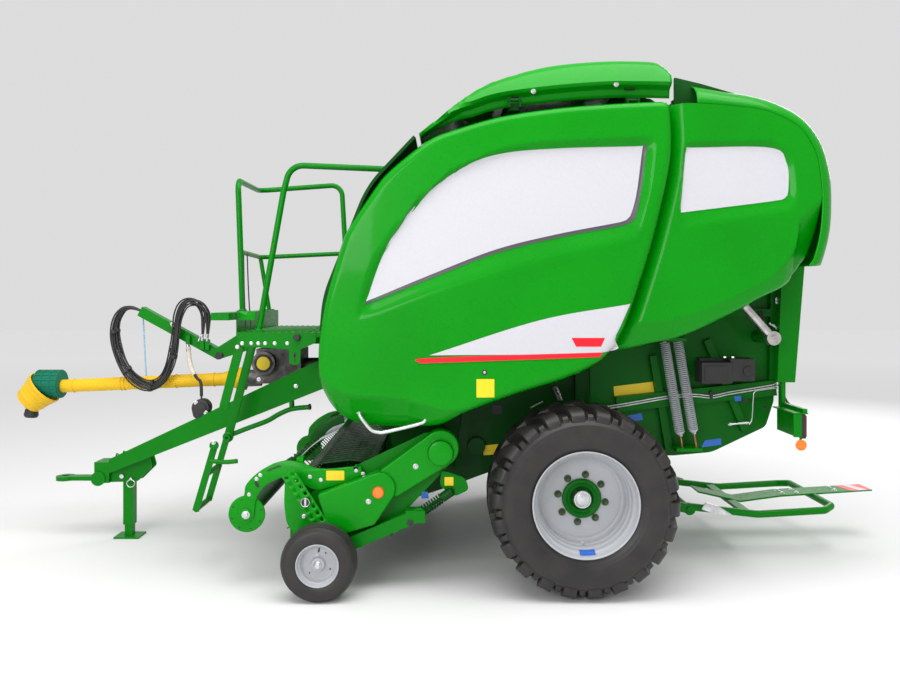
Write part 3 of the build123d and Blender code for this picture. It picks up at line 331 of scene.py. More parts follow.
def plate(outline, y_face, y_back, edge, steps=3):
    """Flat plate across Y: its outline drawn in by edge (1 - sin a) while Y moves on by edge
    (1 - cos a), so that the rim of its face is round."""
    outline = np.asarray(outline, dtype=float)
    run = np.roll(outline, -1, axis=0) - np.roll(outline, 1, axis=0)
    normal = np.stack([run[:, 1], -run[:, 0]], axis=1)
    normal = normal / np.maximum(np.linalg.norm(run, axis=1), 1e-9)[:, None]
    x, z = outline[:, 0], outline[:, 1]
    if (x * np.roll(z, -1) - z * np.roll(x, -1)).sum() < 0:
        normal = -normal
    toward = 1 if y_back > y_face else -1
    turn = np.linspace(0, np.pi / 2, steps)
    rings = [(edge * (1 - math.sin(a)), y_face + toward * edge * (1 - math.cos(a))) for a in turn]
    rings.append((0, y_back))
    count = len(outline)
    corners = []
    for inset, y in rings:
        line = outline - normal * inset
        corners.append(np.column_stack([line[:, 0], np.full(count, y), line[:, 1]]))
    faces = grid_faces(len(rings), count, wrap_columns=True).tolist()
    last = (len(rings) - 1) * count
    faces += [list(range(count)), list(range(last, last + count))[::-1]]
    return np.vstack(corners), faces


def brick(low, high):
    """Box between two corners, for a piece whose edges are then rounded."""
    x, y, z = zip(low, high)
    corners = [(x[i], y[j], z[k]) for i in (0, 1) for j in (0, 1) for k in (0, 1)]
    return np.array(corners, dtype=float), [[0, 1, 3, 2], [4, 6, 7, 5], [0, 4, 5, 1], [2, 3, 7, 6],
        [0, 2, 6, 4], [1, 5, 7, 3]]


def turns_left(a, b, c):
    """True where the way from a over b to c bends to the left."""
    return (b[0] - a[0]) * (c[1] - a[1]) - (b[1] - a[1]) * (c[0] - a[0]) > 0


def round_hull(circles, count=120):
    """Tight line round circles of centre and radius, as equal steps."""
    turn = np.linspace(0, 2 * np.pi, 72, endpoint=False)
    dots = np.vstack([np.column_stack([x + r * np.cos(turn), z + r * np.sin(turn)]) for x, z, r in circles])
    dots = dots[np.lexsort((dots[:, 1], dots[:, 0]))]
    hull = []
    for run in (dots, dots[::-1]):
        chain = []
        for dot in run:
            while len(chain) > 1 and not turns_left(chain[-2], chain[-1], dot):
                chain.pop()
            chain.append(dot)
        hull += chain[:-1]
    return even_line(np.array(hull + hull[:1]), count + 1)[:-1]


def ring_line(x, z, radius, count=40):
    """Closed circle in the plane of X and Z."""
    turn = np.linspace(0, 2 * np.pi, count, endpoint=False)
    return np.column_stack([x + radius * np.cos(turn), z + radius * np.sin(turn)])


def bolt(place, way, width, tall, washer=True):
    """Hexagon head with a chamfer, on a washer."""
    r = width / math.sqrt(3)
    parts = [spun([(0, 2), (r, 2), (r, tall * 0.8), (r * 0.86, tall), (0, tall)], place, way, 6)]
    if washer:
        ring = [(0, 0), (r * 1.25, 0), (r * 1.35, 0.8), (r * 1.35, 1.8), (r * 1.2, 2.4), (0, 2.4)]
        parts.append(spun(ring, place, way, 20))
    return parts


def perforated(start, end, wide, rows, columns, hole, y):
    """Strip of square cells, each a ring of faces between its border and its round hole."""
    start, end = np.asarray(start, dtype=float), np.asarray(end, dtype=float)
    way = (end - start) / np.linalg.norm(end - start)
    across = np.array((-way[1], way[0]))
    step = np.linalg.norm(end - start) / columns
    turn = np.linspace(0, 2 * np.pi, 24, endpoint=False) + np.pi / 4
    round_ring = np.column_stack([np.cos(turn), np.sin(turn)]) * hole
    square = np.column_stack([np.cos(turn), np.sin(turn)])
    square = square / np.abs(square).max(axis=1)[:, None] * (step / 2, wide / rows / 2)
    parts = []
    for c in range(columns):
        for r in range(rows):
            middle = start + way * step * (c + 0.5) + across * wide * ((r + 0.5) / rows - 0.5)
            flat = np.stack([round_ring, square], axis=1) @ np.stack([way, across]) + middle
            corners = np.stack([flat[..., 0], np.full(flat.shape[:2], float(y)), flat[..., 1]], axis=2)
            parts.append((corners.reshape(-1, 3), grid_faces(24, 2, wrap_rows=True).tolist()))
    return parts


# Materials

def material_of(name):
    """New material with its node tree, its shader and its coordinates."""
    material = bpy.data.materials.new(name)
    material.use_nodes = True
    tree = material.node_tree
    return material, tree, tree.nodes["Principled BSDF"], tree.nodes.new("ShaderNodeTexCoord")


def speckle(tree, where, scale, detail):
    """Noise on the object's own coordinates."""
    noise = tree.nodes.new("ShaderNodeTexNoise")
    noise.inputs["Scale"].default_value = scale
    noise.inputs["Detail"].default_value = detail
    tree.links.new(where.outputs["Object"], noise.inputs["Vector"])
    return noise.outputs["Fac"]


def spread(tree, value, stops):
    """Colours or greys by a value from 0 to 1."""
    ramp = tree.nodes.new("ShaderNodeValToRGB")
    tree.links.new(value, ramp.inputs["Fac"])
    while len(ramp.color_ramp.elements) < len(stops):
        ramp.color_ramp.elements.new(0.5)
    for element, (place, colour) in zip(ramp.color_ramp.elements, stops):
        element.position = place
        element.color = (*colour, 1) if len(colour) == 3 else colour
    return ramp.outputs["Color"]


def grey(value):
    """The same value for red, green and blue."""
    return (value, value, value)


def bump(tree, shader, value, strength, depth):
    """Relief from a value, its depth in metres."""
    node = tree.nodes.new("ShaderNodeBump")
    node.inputs["Strength"].default_value = strength
    node.inputs["Distance"].default_value = depth
    tree.links.new(value, node.inputs["Height"])
    tree.links.new(node.outputs["Normal"], shader.inputs["Normal"])


def paint(name, colour, rough, coat, dust):
    """Sprayed paint: the colour shifts a little over the surface, with faint dust and orange peel."""
    material, tree, shader, where = material_of(name)
    colour = np.array(colour)
    cloud = speckle(tree, where, 1.7, 5)
    pale = colour * (1 - dust) + np.array((0.45, 0.42, 0.34)) * dust
    shade = spread(tree, cloud, [(0.32, tuple(colour * 0.9)), (0.55, tuple(colour)), (0.75, tuple(pale))])
    tree.links.new(shade, shader.inputs["Base Color"])
    fine = speckle(tree, where, 38, 3)
    tree.links.new(spread(tree, fine, [(0.3, grey(rough * 0.8)), (0.7, grey(rough * 1.3))]),
        shader.inputs["Roughness"])
    shader.inputs["Coat Weight"].default_value = coat
    shader.inputs["Coat Roughness"].default_value = 0.06
    shader.inputs["Specular IOR Level"].default_value = 0.12
    bump(tree, shader, speckle(tree, where, 260, 2), 0.06, 0.0006)
    return material


def metal(name, colour, rough, spots=0.0):
    """Bare or plated metal with faint marks."""
    material, tree, shader, where = material_of(name)
    colour = np.array(colour)
    marks = speckle(tree, where, 24, 6)
    shade = spread(tree, marks,
        [(0.3, tuple(colour * (0.78 - spots))), (0.6, tuple(colour)),
            (0.8, tuple(np.minimum(colour * 1.12, 1)))])
    tree.links.new(shade, shader.inputs["Base Color"])
    tree.links.new(spread(tree, marks, [(0.3, grey(rough * 1.4)), (0.7, grey(rough * 0.8))]),
        shader.inputs["Roughness"])
    shader.inputs["Metallic"].default_value = 1
    bump(tree, shader, marks, 0.1, 0.0004)
    return material


def rubber(name, colour, *, share, rough=0.8, dust=(0.16, 0.145, 0.125), scale=9):
    """Rubber or black plastic with grey dust in patches."""
    material, tree, shader, where = material_of(name)
    cloud = speckle(tree, where, scale, 8)
    middle = tuple(np.array(colour) * (1 - share * 0.5) + np.array(dust) * share * 0.5)
    far = tuple(np.array(colour) * (1 - share) + np.array(dust) * share)
    tree.links.new(spread(tree, cloud, [(0.35, colour), (0.55, middle), (0.75, far)]),
        shader.inputs["Base Color"])
    tree.links.new(spread(tree, cloud, [(0.3, grey(rough * 0.8)), (0.7, grey(min(rough * 1.1, 1)))]),
        shader.inputs["Roughness"])
    bump(tree, shader, speckle(tree, where, 300, 4), 0.25, 0.0008)
    return material


def sticker(name, colour):
    """Printed foil, a little worn, with no print."""
    material, tree, shader, where = material_of(name)
    colour = np.array(colour)
    worn = speckle(tree, where, 60, 6)
    tree.links.new(spread(tree, worn, [(0.35, tuple(colour * 0.97)), (0.6, tuple(colour))]),
        shader.inputs["Base Color"])
    tree.links.new(spread(tree, worn, [(0.3, grey(0.37)), (0.7, grey(0.33))]), shader.inputs["Roughness"])
    bump(tree, shader, worn, 0.05, 0.0003)
    return material


green_panel = paint("green_panel_paint", (0.0, 0.27, 0.0025), rough=0.3, coat=0.16, dust=0.002)
green_frame = paint("green_frame_paint", (0.0, 0.20, 0.003), rough=0.36, coat=0.1, dust=0.004)
# The wall green is the panel's green paint made darker for the recessed walls and hubs: painted shade.
shaded_green_wall = paint("green_wall_paint_with_painted_shade", (0.0003, 0.12, 0.004), rough=0.4, coat=0.08, dust=0.01)
# The inner green is the same paint made darker still for the inner, under and tucked-away parts: painted
# shade.
shaded_green_inner = paint("green_inner_paint_with_painted_shade", (0.0006, 0.06, 0.003), rough=0.45, coat=0.06, dust=0.01)
white_film = sticker("white_film", (0.60, 0.59, 0.635))
grey_film = sticker("dark_grey_film", (0.07, 0.065, 0.08))
red_film = sticker("red_film", (0.86, 0.002, 0.016))
yellow_film = sticker("yellow_film", (0.90, 0.66, 0.01))
blue_film = sticker("blue_film", (0.02, 0.13, 0.55))
tyre_rubber = rubber("tyre_rubber", (0.012, 0.0108, 0.0108), dust=(0.040, 0.033, 0.030), share=0.55,
    rough=0.5)
black_rubber = rubber("black_rubber", (0.012, 0.012, 0.013), share=0.12, rough=0.55)
belt_rubber = rubber("belt_rubber", (0.03, 0.03, 0.032), share=0.25, rough=0.7)
rim_silver = paint("rim_silver_paint", (0.44, 0.45, 0.475), rough=0.3, coat=0.4, dust=0.05)
spring_grey = paint("spring_grey_paint", (0.50, 0.51, 0.54), rough=0.4, coat=0.2, dust=0.05)
zinc = metal("zinc_plate", (0.72, 0.72, 0.74), 0.3)
steel = metal("bright_steel", (0.62, 0.60, 0.58), 0.36, spots=0.12)
dark_steel = metal("dark_steel", (0.16, 0.15, 0.15), 0.5, spots=0.05)
spring_steel = metal("spring_steel", (0.55, 0.57, 0.60), 0.35)
yellow_plastic = paint("yellow_plastic", (0.86, 0.52, 0.02), rough=0.4, coat=0.1, dust=0.1)
teal_plastic = paint("teal_plastic", (0.01, 0.17, 0.10), rough=0.5, coat=0.0, dust=0.15)
rope_blue = rubber("rope_blue", (0.25, 0.5, 0.75), dust=(0.5, 0.6, 0.7), share=0.4, scale=300)
lamp_red = paint("lamp_red_lens", (0.5, 0.008, 0.006), rough=0.15, coat=1.0, dust=0.02)
nut_metal = metal("nut_metal", (0.10, 0.14, 0.08), 0.5)
copper = metal("copper_thread", (0.50, 0.24, 0.13), 0.4)
cream_sleeve = rubber("cream_sleeve", (0.62, 0.56, 0.47), dust=(0.75, 0.7, 0.62), share=0.5, rough=0.9,
    scale=60)
lamp_black = rubber("lamp_housing", (0.02, 0.014, 0.016), share=0.1, rough=0.35)
orange_rim = paint("orange_lens_rim", (0.72, 0.10, 0.004), rough=0.3, coat=0.6, dust=0.02)
orange_glass = paint("orange_reflector", (0.95, 0.22, 0.01), rough=0.2, coat=1.0, dust=0.02)


def dress_nodes():
    """Finishes of the pieces that show as they were built."""
    finishes = [
        (green_panel, "side_door_left side_door_right tailgate_panel_left tailgate_panel_right hood "
            "tailgate_cover chain_covers"),
        (belt_rubber, "tailgate_belts"),
        (zinc, "tailgate_rollers"),
        (black_rubber, "hose_upper hose_lower hose_lead hose_bracket"),
        (green_frame, "axle bale_ramp drawbar hitch_eye hose_arm jack_leg ladder ladder_step platform "
            "platform_rails pickup_side_left pickup_side_right windrow_guard tailgate_beams "
            "ram_barrels"),
        # Tailgate walls, windrow bars and the inner parts take the darker greens: painted shade in their
        # colour.
        (shaded_green_wall, "tailgate_wall_left tailgate_wall_right windrow_bars windrow_comb"),
        (shaded_green_inner, "chamber_wall_left chamber_wall_right frame_cross_beams front_panel feed_rotor "
            "starter_roller crop_roller tine_reel pickup_bands"),
        (tyre_rubber, "tyre_left tyre_right gauge_tyre_left gauge_tyre_right"),
        (rim_silver, "rim_left rim_right gauge_rim_left gauge_rim_right"),
        (dark_steel, "gearbox"),
        (black_rubber, "lubricator shaft_yoke"),
        (steel, "ram_rods"),
        (spring_steel, "tension_springs"),
        (yellow_plastic, "shaft_guard"),
        (teal_plastic, "shaft_collar"),
        (rope_blue, "shaft_rope"),
        (lamp_red, "rear_lamps")]
    for material, names in finishes:
        for name in names.split():
            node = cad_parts[name]
            node.data.materials.clear()
            node.data.materials.append(material)


# Pressed side panels

DOOR_FRONT = [(-1083, 945), (-1200, 952), (-1296, 970), (-1382, 1008), (-1446, 1080), (-1484, 1161),
    (-1499, 1240), (-1499, 1420), (-1463, 1672), (-1375, 1976), (-1329, 2087), (-1189, 2300), (-1106, 2402),
    (-949, 2533), (-868, 2588), (-765, 2631), (-480, 2713), (-144, 2763), (180, 2788), (440, 2800)]
DOOR_REAR = [(-1083, 945), (-930, 950), (-800, 972), (-647, 1055), (-368, 1156), (-144, 1225), (27, 1296),
    (141, 1385), (230, 1532), (308, 1756), (392, 2035), (465, 2348), (492, 2544), (484, 2740), (470, 2784),
    (440, 2800)]
CREASE = [(-1560, 1290), (-1488, 1264), (-1416, 1191), (-1318, 1152), (-994, 1130), (-871, 1091),
    (-798, 1071), (-675, 1070), (-507, 1104), (-166, 1200), (60, 1290), (600, 1500)]
FIELD_INNER = [(-1229, 1672), (-1139, 1924), (-1045, 2092), (-905, 2259), (-709, 2410), (-486, 2500),
    (-150, 2534), (336, 2548), (302, 2287), (258, 2147), (180, 2114), (-145, 2052), (-486, 1968),
    (-822, 1840)]
FIELD_OUTER = [(-1308, 1549), (-1256, 1728), (-1180, 1924), (-960, 2220), (-759, 2410), (-480, 2530),
    (-256, 2570), (381, 2600), (410, 2566), (388, 2343), (322, 2060), (280, 2010), (-145, 1918),
    (-480, 1834), (-930, 1683)]


def rounded(points, radius, steps=5):
    """Closed line with each corner cut by a smooth bow that starts a radius away from it."""
    points = np.asarray(points, dtype=float)
    before, after = np.roll(points, 1, axis=0) - points, np.roll(points, -1, axis=0) - points
    reach = np.minimum(radius,
        0.48 * np.minimum(np.linalg.norm(before, axis=1), np.linalg.norm(after, axis=1)))
    start = points + before * (reach / np.linalg.norm(before, axis=1))[:, None]
    end = points + after * (reach / np.linalg.norm(after, axis=1))[:, None]
    share = np.linspace(0, 1, steps)[None, :, None]
    bow = (start[:, None] * (1 - share) ** 2 + 2 * points[:, None] * share * (1 - share)
        + end[:, None] * share ** 2)
    return bow.reshape(-1, points.shape[1])


def quarter(near, reach):
    """Drop of a rounded rim: a quarter circle over the last stretch before the edge."""
    inward = np.clip(1 - near / reach, 0, 1)
    return reach * (1 - np.sqrt(1 - inward ** 2 * 0.995))


def sunk(places, inner, outer, depth):
    """Depth of a sunk field: its whole depth inside the inner line, none outside the outer one,
    and a slope with soft ends between them."""
    to_inner = np.where(inside(places, inner), 0, distance(places, inner))
    to_outer = np.where(inside(places, outer), distance(places, outer), 0)
    share = to_inner / np.maximum(to_inner + to_outer, 1e-6)
    soft = np.clip((share - 0.06) / 0.88, 0, 1)
    return depth * (1 - (0.55 * soft + 0.45 * ease(soft)))


def tuck(places, crease, slope, soft):
    """Drop of a chin: slope times the way below a crease, with a soft start."""
    x, z = places[:, 0], places[:, 1]
    below = np.interp(x, [p[0] for p in crease], [p[1] for p in crease]) - z
    return slope * np.where(below > soft, below - soft / 2, np.clip(below, 0, soft) ** 2 / (2 * soft))


DOOR_RIM = 46
DOOR_FIELD_DEPTH = 36
door_inner = rounded(FIELD_INNER, 60)
door_outer = rounded(FIELD_OUTER, 70)


def door_drop(places):
    """How far the door's skin lies inside its outermost plane: a slight crown, rolled rims, the
    sunk field and the chin that turns inwards below the crease."""
    x, z = places[:, 0], places[:, 1]
    rim = np.vstack([smooth_line(DOOR_FRONT, 200), smooth_line(DOOR_REAR, 160)[::-1][1:-1]])
    drop = 26 * np.clip((-x - 300) / 1200, 0, 1) ** 2 + 10 * np.clip((z - 1900) / 900, 0, 1) ** 2
    drop += quarter(distance(places, rim), DOOR_RIM)
    drop += sunk(places, door_inner, door_outer, DOOR_FIELD_DEPTH)
    return drop + tuck(places, CREASE, slope=0.78, soft=14)


PANEL_FRONT = [(130, 1384), (216, 1532), (294, 1756), (378, 2035), (451, 2348), (476, 2544), (472, 2700),
    (468, 2790)]
PANEL_REAR = [(130, 1384), (260, 1400), (395, 1430), (603, 1482), (904, 1626), (1019, 1690), (1180, 1765),
    (1262, 1845), (1306, 1930), (1342, 2080), (1352, 2285), (1332, 2460), (1300, 2550), (1240, 2643),
    (1150, 2705), (1011, 2757), (800, 2784), (611, 2795), (468, 2790)]
PANEL_CREASE = [(0, 1420), (300, 1560), (500, 1580), (700, 1640), (900, 1730), (1050, 1810), (1150, 1900),
    (1210, 2010), (1225, 2140), (1400, 2300)]
PANEL_FIELD_INNER = [(585, 2546), (1056, 2546), (1157, 2473), (1168, 2305), (1157, 2260), (1084, 2243),
    (552, 2176)]
PANEL_FIELD_OUTER = [(571, 2580), (1090, 2580), (1196, 2510), (1222, 2300), (1207, 2186), (535, 2070)]
PANEL_RIM = 30
PANEL_FIELD_DEPTH = 22
panel_inner = rounded(PANEL_FIELD_INNER, 55)
panel_outer = rounded(PANEL_FIELD_OUTER, 60)


def panel_drop(places):
    """How far the tailgate panel's skin lies inside its outermost plane: rolled rear and upper
    rims, a gutter along the door, the sunk field and the tuck below the crease."""
    rear = smooth_line(PANEL_REAR, 200)
    drop = quarter(distance(places, rear[rear[:, 1] < 1900], closed=False), PANEL_RIM)
    gutter = distance(places, smooth_line(PANEL_FRONT, 80), closed=False)
    drop += 62 * (1 - ease(gutter / 105))
    drop += sunk(places, panel_inner, panel_outer, PANEL_FIELD_DEPTH)
    return drop + tuck(places, PANEL_CREASE, slope=0.42, soft=22)


def ruled(front, rear, rows, columns):
    """Grid between two edge lines that start and end together."""
    share = np.linspace(0, 1, columns)[None, :, None]
    a, b = smooth_line(front, rows)[:, None], smooth_line(rear, rows)[:, None]
    return a * (1 - share) + b * share


def skin(name, front, rear, rows, columns, outer_y, drop, material, body, lift=0, wall=14):
    """Surface over the grid between two edges, its depth given by a drop, then its mirror twin."""
    grid = ruled(front, rear, rows, columns)
    places = grid.reshape(-1, 2)
    y = -(outer_y - drop(places) + lift)
    corners = np.stack([places[:, 0], y, places[:, 1]], axis=1)
    things = both_sides(name, [(corners, grid_faces(rows, columns)[:, ::-1])], material, body, solid=False)
    for thing in things:
        if wall:
            thicken(thing, wall, -1)
    return things


def door_skins():
    """Doors' and tailgate's outer skins, each standing for its plainer CAD panel."""
    doors = skin("door_skin", DOOR_FRONT, DOOR_REAR, 230, 120, DOOR_Y, door_drop, green_panel, "door")
    for thing, (side, _) in zip(doors, SIDES):
        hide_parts(f"side_door_{side}")
    panels = skin("tailgate_skin", PANEL_FRONT, PANEL_REAR, 150, 110, PANEL_Y, panel_drop, green_panel,
        "tailgate")
    for thing, (side, _) in zip(panels, SIDES):
        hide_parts(f"tailgate_panel_{side}")


FILM_LIFT = 2.2
RED_FILM_LIFT = 3.6


def decals():
    """Thin films that follow the pressed skins, each between a lower or front and an upper edge."""
    films = [("door_white_field",
            [(-1229, 1672), (-1139, 1924), (-1045, 2092), (-905, 2259), (-709, 2410), (-486, 2500),
                (-150, 2534), (330, 2547)],
            [(-1229, 1672), (-822, 1840), (-486, 1968), (-145, 2052), (160, 2110), (232, 2128), (262, 2160),
                (296, 2287), (330, 2547)], DOOR_Y, door_drop, white_film, "door", 60, 50),
        ("door_grey_line",
            [(-1236, 1664), (-822, 1840), (-486, 1968), (-145, 2052), (160, 2110), (232, 2128), (262, 2160),
                (296, 2287), (333, 2549)],
            [(-1240, 1650), (-822, 1818), (-486, 1946), (-145, 2031), (170, 2090), (250, 2112), (288, 2150),
                (318, 2287), (353, 2549)], DOOR_Y, door_drop, grey_film, "door", 90, 4),
        ("door_white_wedge", [(-872, 1370), (-256, 1566), (253, 1658)],
            [(-872, 1370), (96, 1387), (170, 1480), (253, 1658)], DOOR_Y, door_drop, white_film, "door", 50,
            30),
        ("door_red_stripe", [(-924, 1325), (-870, 1356), (100, 1387)],
            [(-924, 1325), (-500, 1340), (82, 1361)], DOOR_Y, door_drop, red_film, "door", 60, 6),
        ("door_red_badge", [(-51, 1419), (-77, 1468)], [(88, 1419), (110, 1468)], DOOR_Y, door_drop,
            red_film, "door", 12, 20),
        ("door_yellow_label", [(-608, 1135), (-608, 1238)], [(-508, 1135), (-508, 1238)], DOOR_Y, door_drop,
            yellow_film, "door", 24, 8),
        ("panel_white_field", [(552, 2176), (585, 2546)],
            [(552, 2176), (1084, 2243), (1150, 2262), (1168, 2310), (1157, 2460), (1056, 2546),
                (585, 2546)], PANEL_Y, panel_drop, white_film, "tailgate", 60, 40)]
    for name, front, rear, outer_y, drop, material, body, rows, columns in films:
        lift = RED_FILM_LIFT if material is red_film else FILM_LIFT
        skin(name, front, rear, rows, columns, outer_y, drop, material, body, lift, wall=0)


# Hood with its side faces and inner lips

HOOD_RIDGE = [(-930, 2627), (-595, 2888), (-376, 2985), (-158, 3045), (133, 3074), (405, 3070), (471, 3037),
    (512, 2975)]
HOOD_EDGE = [(-934, 2622), (-742, 2760), (-595, 2828), (-450, 2867), (-158, 2905), (133, 2927), (350, 2928),
    (512, 2925)]
HOOD_COLUMNS = 110


def hood_shell():
    """Section after section along X: inner lip, lower edge, sloped side face, rounded shoulder and
    flat top, from one side to the other."""
    x = np.linspace(-930, 512, 90)
    ridge = smooth_line(HOOD_RIDGE, 300)
    edge = smooth_line(HOOD_EDGE, 300)
    top = np.interp(x, ridge[:, 0], ridge[:, 1])
    low = np.minimum(np.interp(x, edge[:, 0], edge[:, 1]), top - 2)
    tall = np.maximum(top - low, 2)
    lip = 78 * np.clip((x + 930) / 300, 0.1, 1)
    half = [(HOOD_Y - 62 + 0 * x, low - lip), (HOOD_Y - 50 + 0 * x, low - lip * 0.35),
        (HOOD_Y + 0 * x, low - 6), (HOOD_Y + 0 * x, low + 4), (HOOD_Y - 0.34 * tall, low + 0.62 * tall),
        (HOOD_Y - 0.62 * tall, low + 0.90 * tall), (HOOD_Y - 1.1 * tall, top - 1),
        (HOOD_Y - 260 - tall, top + 4), (500 + 0 * x, top + 10)]
    y = np.stack([-p[0] for p in half] + [0 * x] + [p[0] for p in half[::-1]], axis=1)
    z = np.stack([p[1] for p in half] + [top + 12] + [p[1] for p in half[::-1]], axis=1)
    section = np.array([smooth_line(np.stack([y[k], z[k]], axis=1), HOOD_COLUMNS) for k in range(len(x))])
    corners = np.concatenate([np.broadcast_to(x[:, None, None], section.shape[:2] + (1,)), section], axis=2)
    hood = make_piece("hood_shell", [(corners, grid_faces(len(x), HOOD_COLUMNS)[:, ::-1])], green_panel,
        "chassis", sharp=28, solid=False)
    thicken(hood, 8, -1)
    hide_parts("hood")


def rear_shell():
    """Cover round the tailgate's top and rear: between its profile P and the panels' rim C, the
    surface is P + (C - P) (1 - sqrt(1 - u u)), while Y runs from 1000 to 1183 with u."""
    profile = smooth_line([(645, 2922), (800, 2893), (1040, 2848), (1240, 2760), (1370, 2620), (1440, 2420),
            (1452, 2210), (1438, 2050), (1396, 1885)], 80)
    rim = smooth_line([(645, 2795), (800, 2784), (1011, 2757), (1150, 2705), (1240, 2643), (1300, 2550),
            (1332, 2460), (1352, 2285), (1342, 2080), (1306, 1925), (1272, 1870)], 80)
    u = np.sin(np.linspace(0, np.pi / 2, 18))
    fall = 1 - np.sqrt(1 - np.minimum(u, 1) ** 2 * 0.9999)
    side = profile[:, None] + (rim - profile)[:, None] * fall[None, :, None]
    middle = np.broadcast_to(profile[:, None], (80, 9, 2))
    places = np.concatenate([side[:, ::-1], middle, side], axis=1)
    across = np.concatenate([-(1000 + 183 * u)[::-1], np.linspace(-900, 900, 9), 1000 + 183 * u])
    corners = np.stack([places[..., 0], np.broadcast_to(across, places.shape[:2]), places[..., 1]], axis=2)
    shell = make_piece("rear_shell", [(corners, grid_faces(80, len(across)))], green_panel, "tailgate",
        solid=False)
    thicken(shell, 8, 1)
    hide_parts("tailgate_cover")


# Main wheels: profiles are radius and depth inwards from the outer sidewall

WHEEL = (0, -1320, 541)
TYRE_WIDTH = 530
LUG_COUNT = 22
STUD_CIRCLE = 137.5
STUD_COUNT = 8
LUG_TOP = [(540, 264), (540.5, 200), (539.5, 130), (534, 72), (522, 38), (503, 18), (482, 8), (463, 4)]
LUG_BASE = [(517, 264), (516.5, 200), (514, 130), (506, 76), (494, 46), (478, 28), (464, 17), (454, 12)]


def lug_blocks(start, end, half_width, height, shift, turn, points=24):
    """Lugs of one row: at share t along the two lines from the tread's middle to the sidewall,
    place = base + h (top - base), turned by swing sin(pi t / 1.7) + u half width / radius."""
    section = np.array([(-1.26, -0.8), (-1.10, 0.2), (-1.03, 0.84), (-0.93, 1.0), (0.93, 1.0), (1.03, 0.84),
            (1.10, 0.2), (1.26, -0.8)])
    share = np.linspace(start, end, points)
    top, base = even_line(LUG_TOP, 201), even_line(LUG_BASE, 201)
    pick = np.clip((share * 200).round().astype(int), 0, 200)
    grow = np.clip((share - start) / 0.05, 0, 1) * np.clip((end - share) / 0.10, 0, 1) ** 0.6
    wide = np.interp(share, [0, 0.4, 0.75, 1], np.array(half_width))
    h = section[None, :, 1] * height * grow[:, None] - 0.8 * (1 - grow[:, None])
    places = base[pick][:, None] * (1 - h[..., None]) + top[pick][:, None] * h[..., None]
    swing = 0.19 * np.sin(np.minimum(share / 0.85, 1) * np.pi / 2) + shift
    angle = swing[:, None] + section[None, :, 0] * wide[:, None] / places[..., 0] + turn
    x = places[..., 0] * np.sin(angle)
    z = places[..., 0] * np.cos(angle)
    corners = np.stack([x, places[..., 1], z], axis=2)
    count = len(section)
    faces = grid_faces(points, count, wrap_columns=True).tolist()
    last = (points - 1) * count
    return corners.reshape(-1, 3), faces + [list(range(count)), list(range(last, last + count))]


def main_tyres():
    """Casing turned from a profile with fine moulded rings, and two rows of hooked lugs."""
    half = smooth_line([(285, 56), (290, 44), (302, 33), (318, 25), (326, 21), (345, 13), (375, 5.5),
            (410, 2), (440, 4), (456, 9), (472, 25), (488, 52), (499, 86), (505, 130), (507, 180),
            (508, 265)], 84)
    for ring in (322, 331, 352, 449):
        half[:, 1] -= 1.5 * np.exp(-((half[:, 0] - ring) / 2.2) ** 2) * (half[:, 1] < 60)
    half[:, 1] = np.maximum(half[:, 1], 0.5)
    whole = np.vstack([half, (half * (1, -1) + (0, TYRE_WIDTH))[::-1][1:]])
    inner = [(285, 470), (300, 452), (470, 420), (488, 265), (470, 110), (300, 78)]
    profile = np.vstack([whole, inner])
    parts = [spun(profile, WHEEL, steps=120, closed=True)]
    for place in range(LUG_COUNT):
        turn = place * 2 * math.pi / LUG_COUNT
        for row in (0, 1):
            start = turn + row * math.pi / LUG_COUNT
            pieces = [lug_blocks(0, 1, (30, 36, 41, 33), 1, 0, start),
                lug_blocks(0.73, 0.97, (15, 15, 15, 17), 0.5, math.pi / LUG_COUNT, start, 8)]
            for corners, faces in pieces:
                corners = corners * MIRROR + (0, TYRE_WIDTH, 0) if row else corners
                parts.append((corners + WHEEL, faces))
        angle = turn + 0.31
        seam = np.array([(r * math.sin(angle), d, r * math.cos(angle))
            for r, d in ((463, 15), (474, 30), (484, 46), (492, 68))])
        parts.append(carried(seam + WHEEL, ring_section(1.6, 5), (math.cos(angle), 0, -math.sin(angle))))
    for thing, (side, _) in zip(both_sides("main_tyre", parts, tyre_rubber, "wheel", 28), SIDES):
        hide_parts(f"tyre_{side}")


RIM_LINE = [(300, 27), (301.5, 22), (297, 18), (291, 21), (288, 31), (285, 48), (277, 64), (272, 69),
    (268, 78), (266, 106), (259, 114), (256, 122), (255, 146), (249, 154), (247, 166), (246, 184),
    (241, 198), (230, 206), (221, 204), (150, 206), (74, 208), (74, 220), (150, 220), (222, 218),
    (238, 216), (252, 224), (256, 300), (258, 430), (272, 462), (282, 478), (288, 500), (296, 511),
    (302, 508), (300, 500), (292, 488), (283, 474), (280, 455), (268, 440), (264, 300), (264, 150),
    (272, 112), (281, 74), (283, 54), (292, 44), (297, 36)]


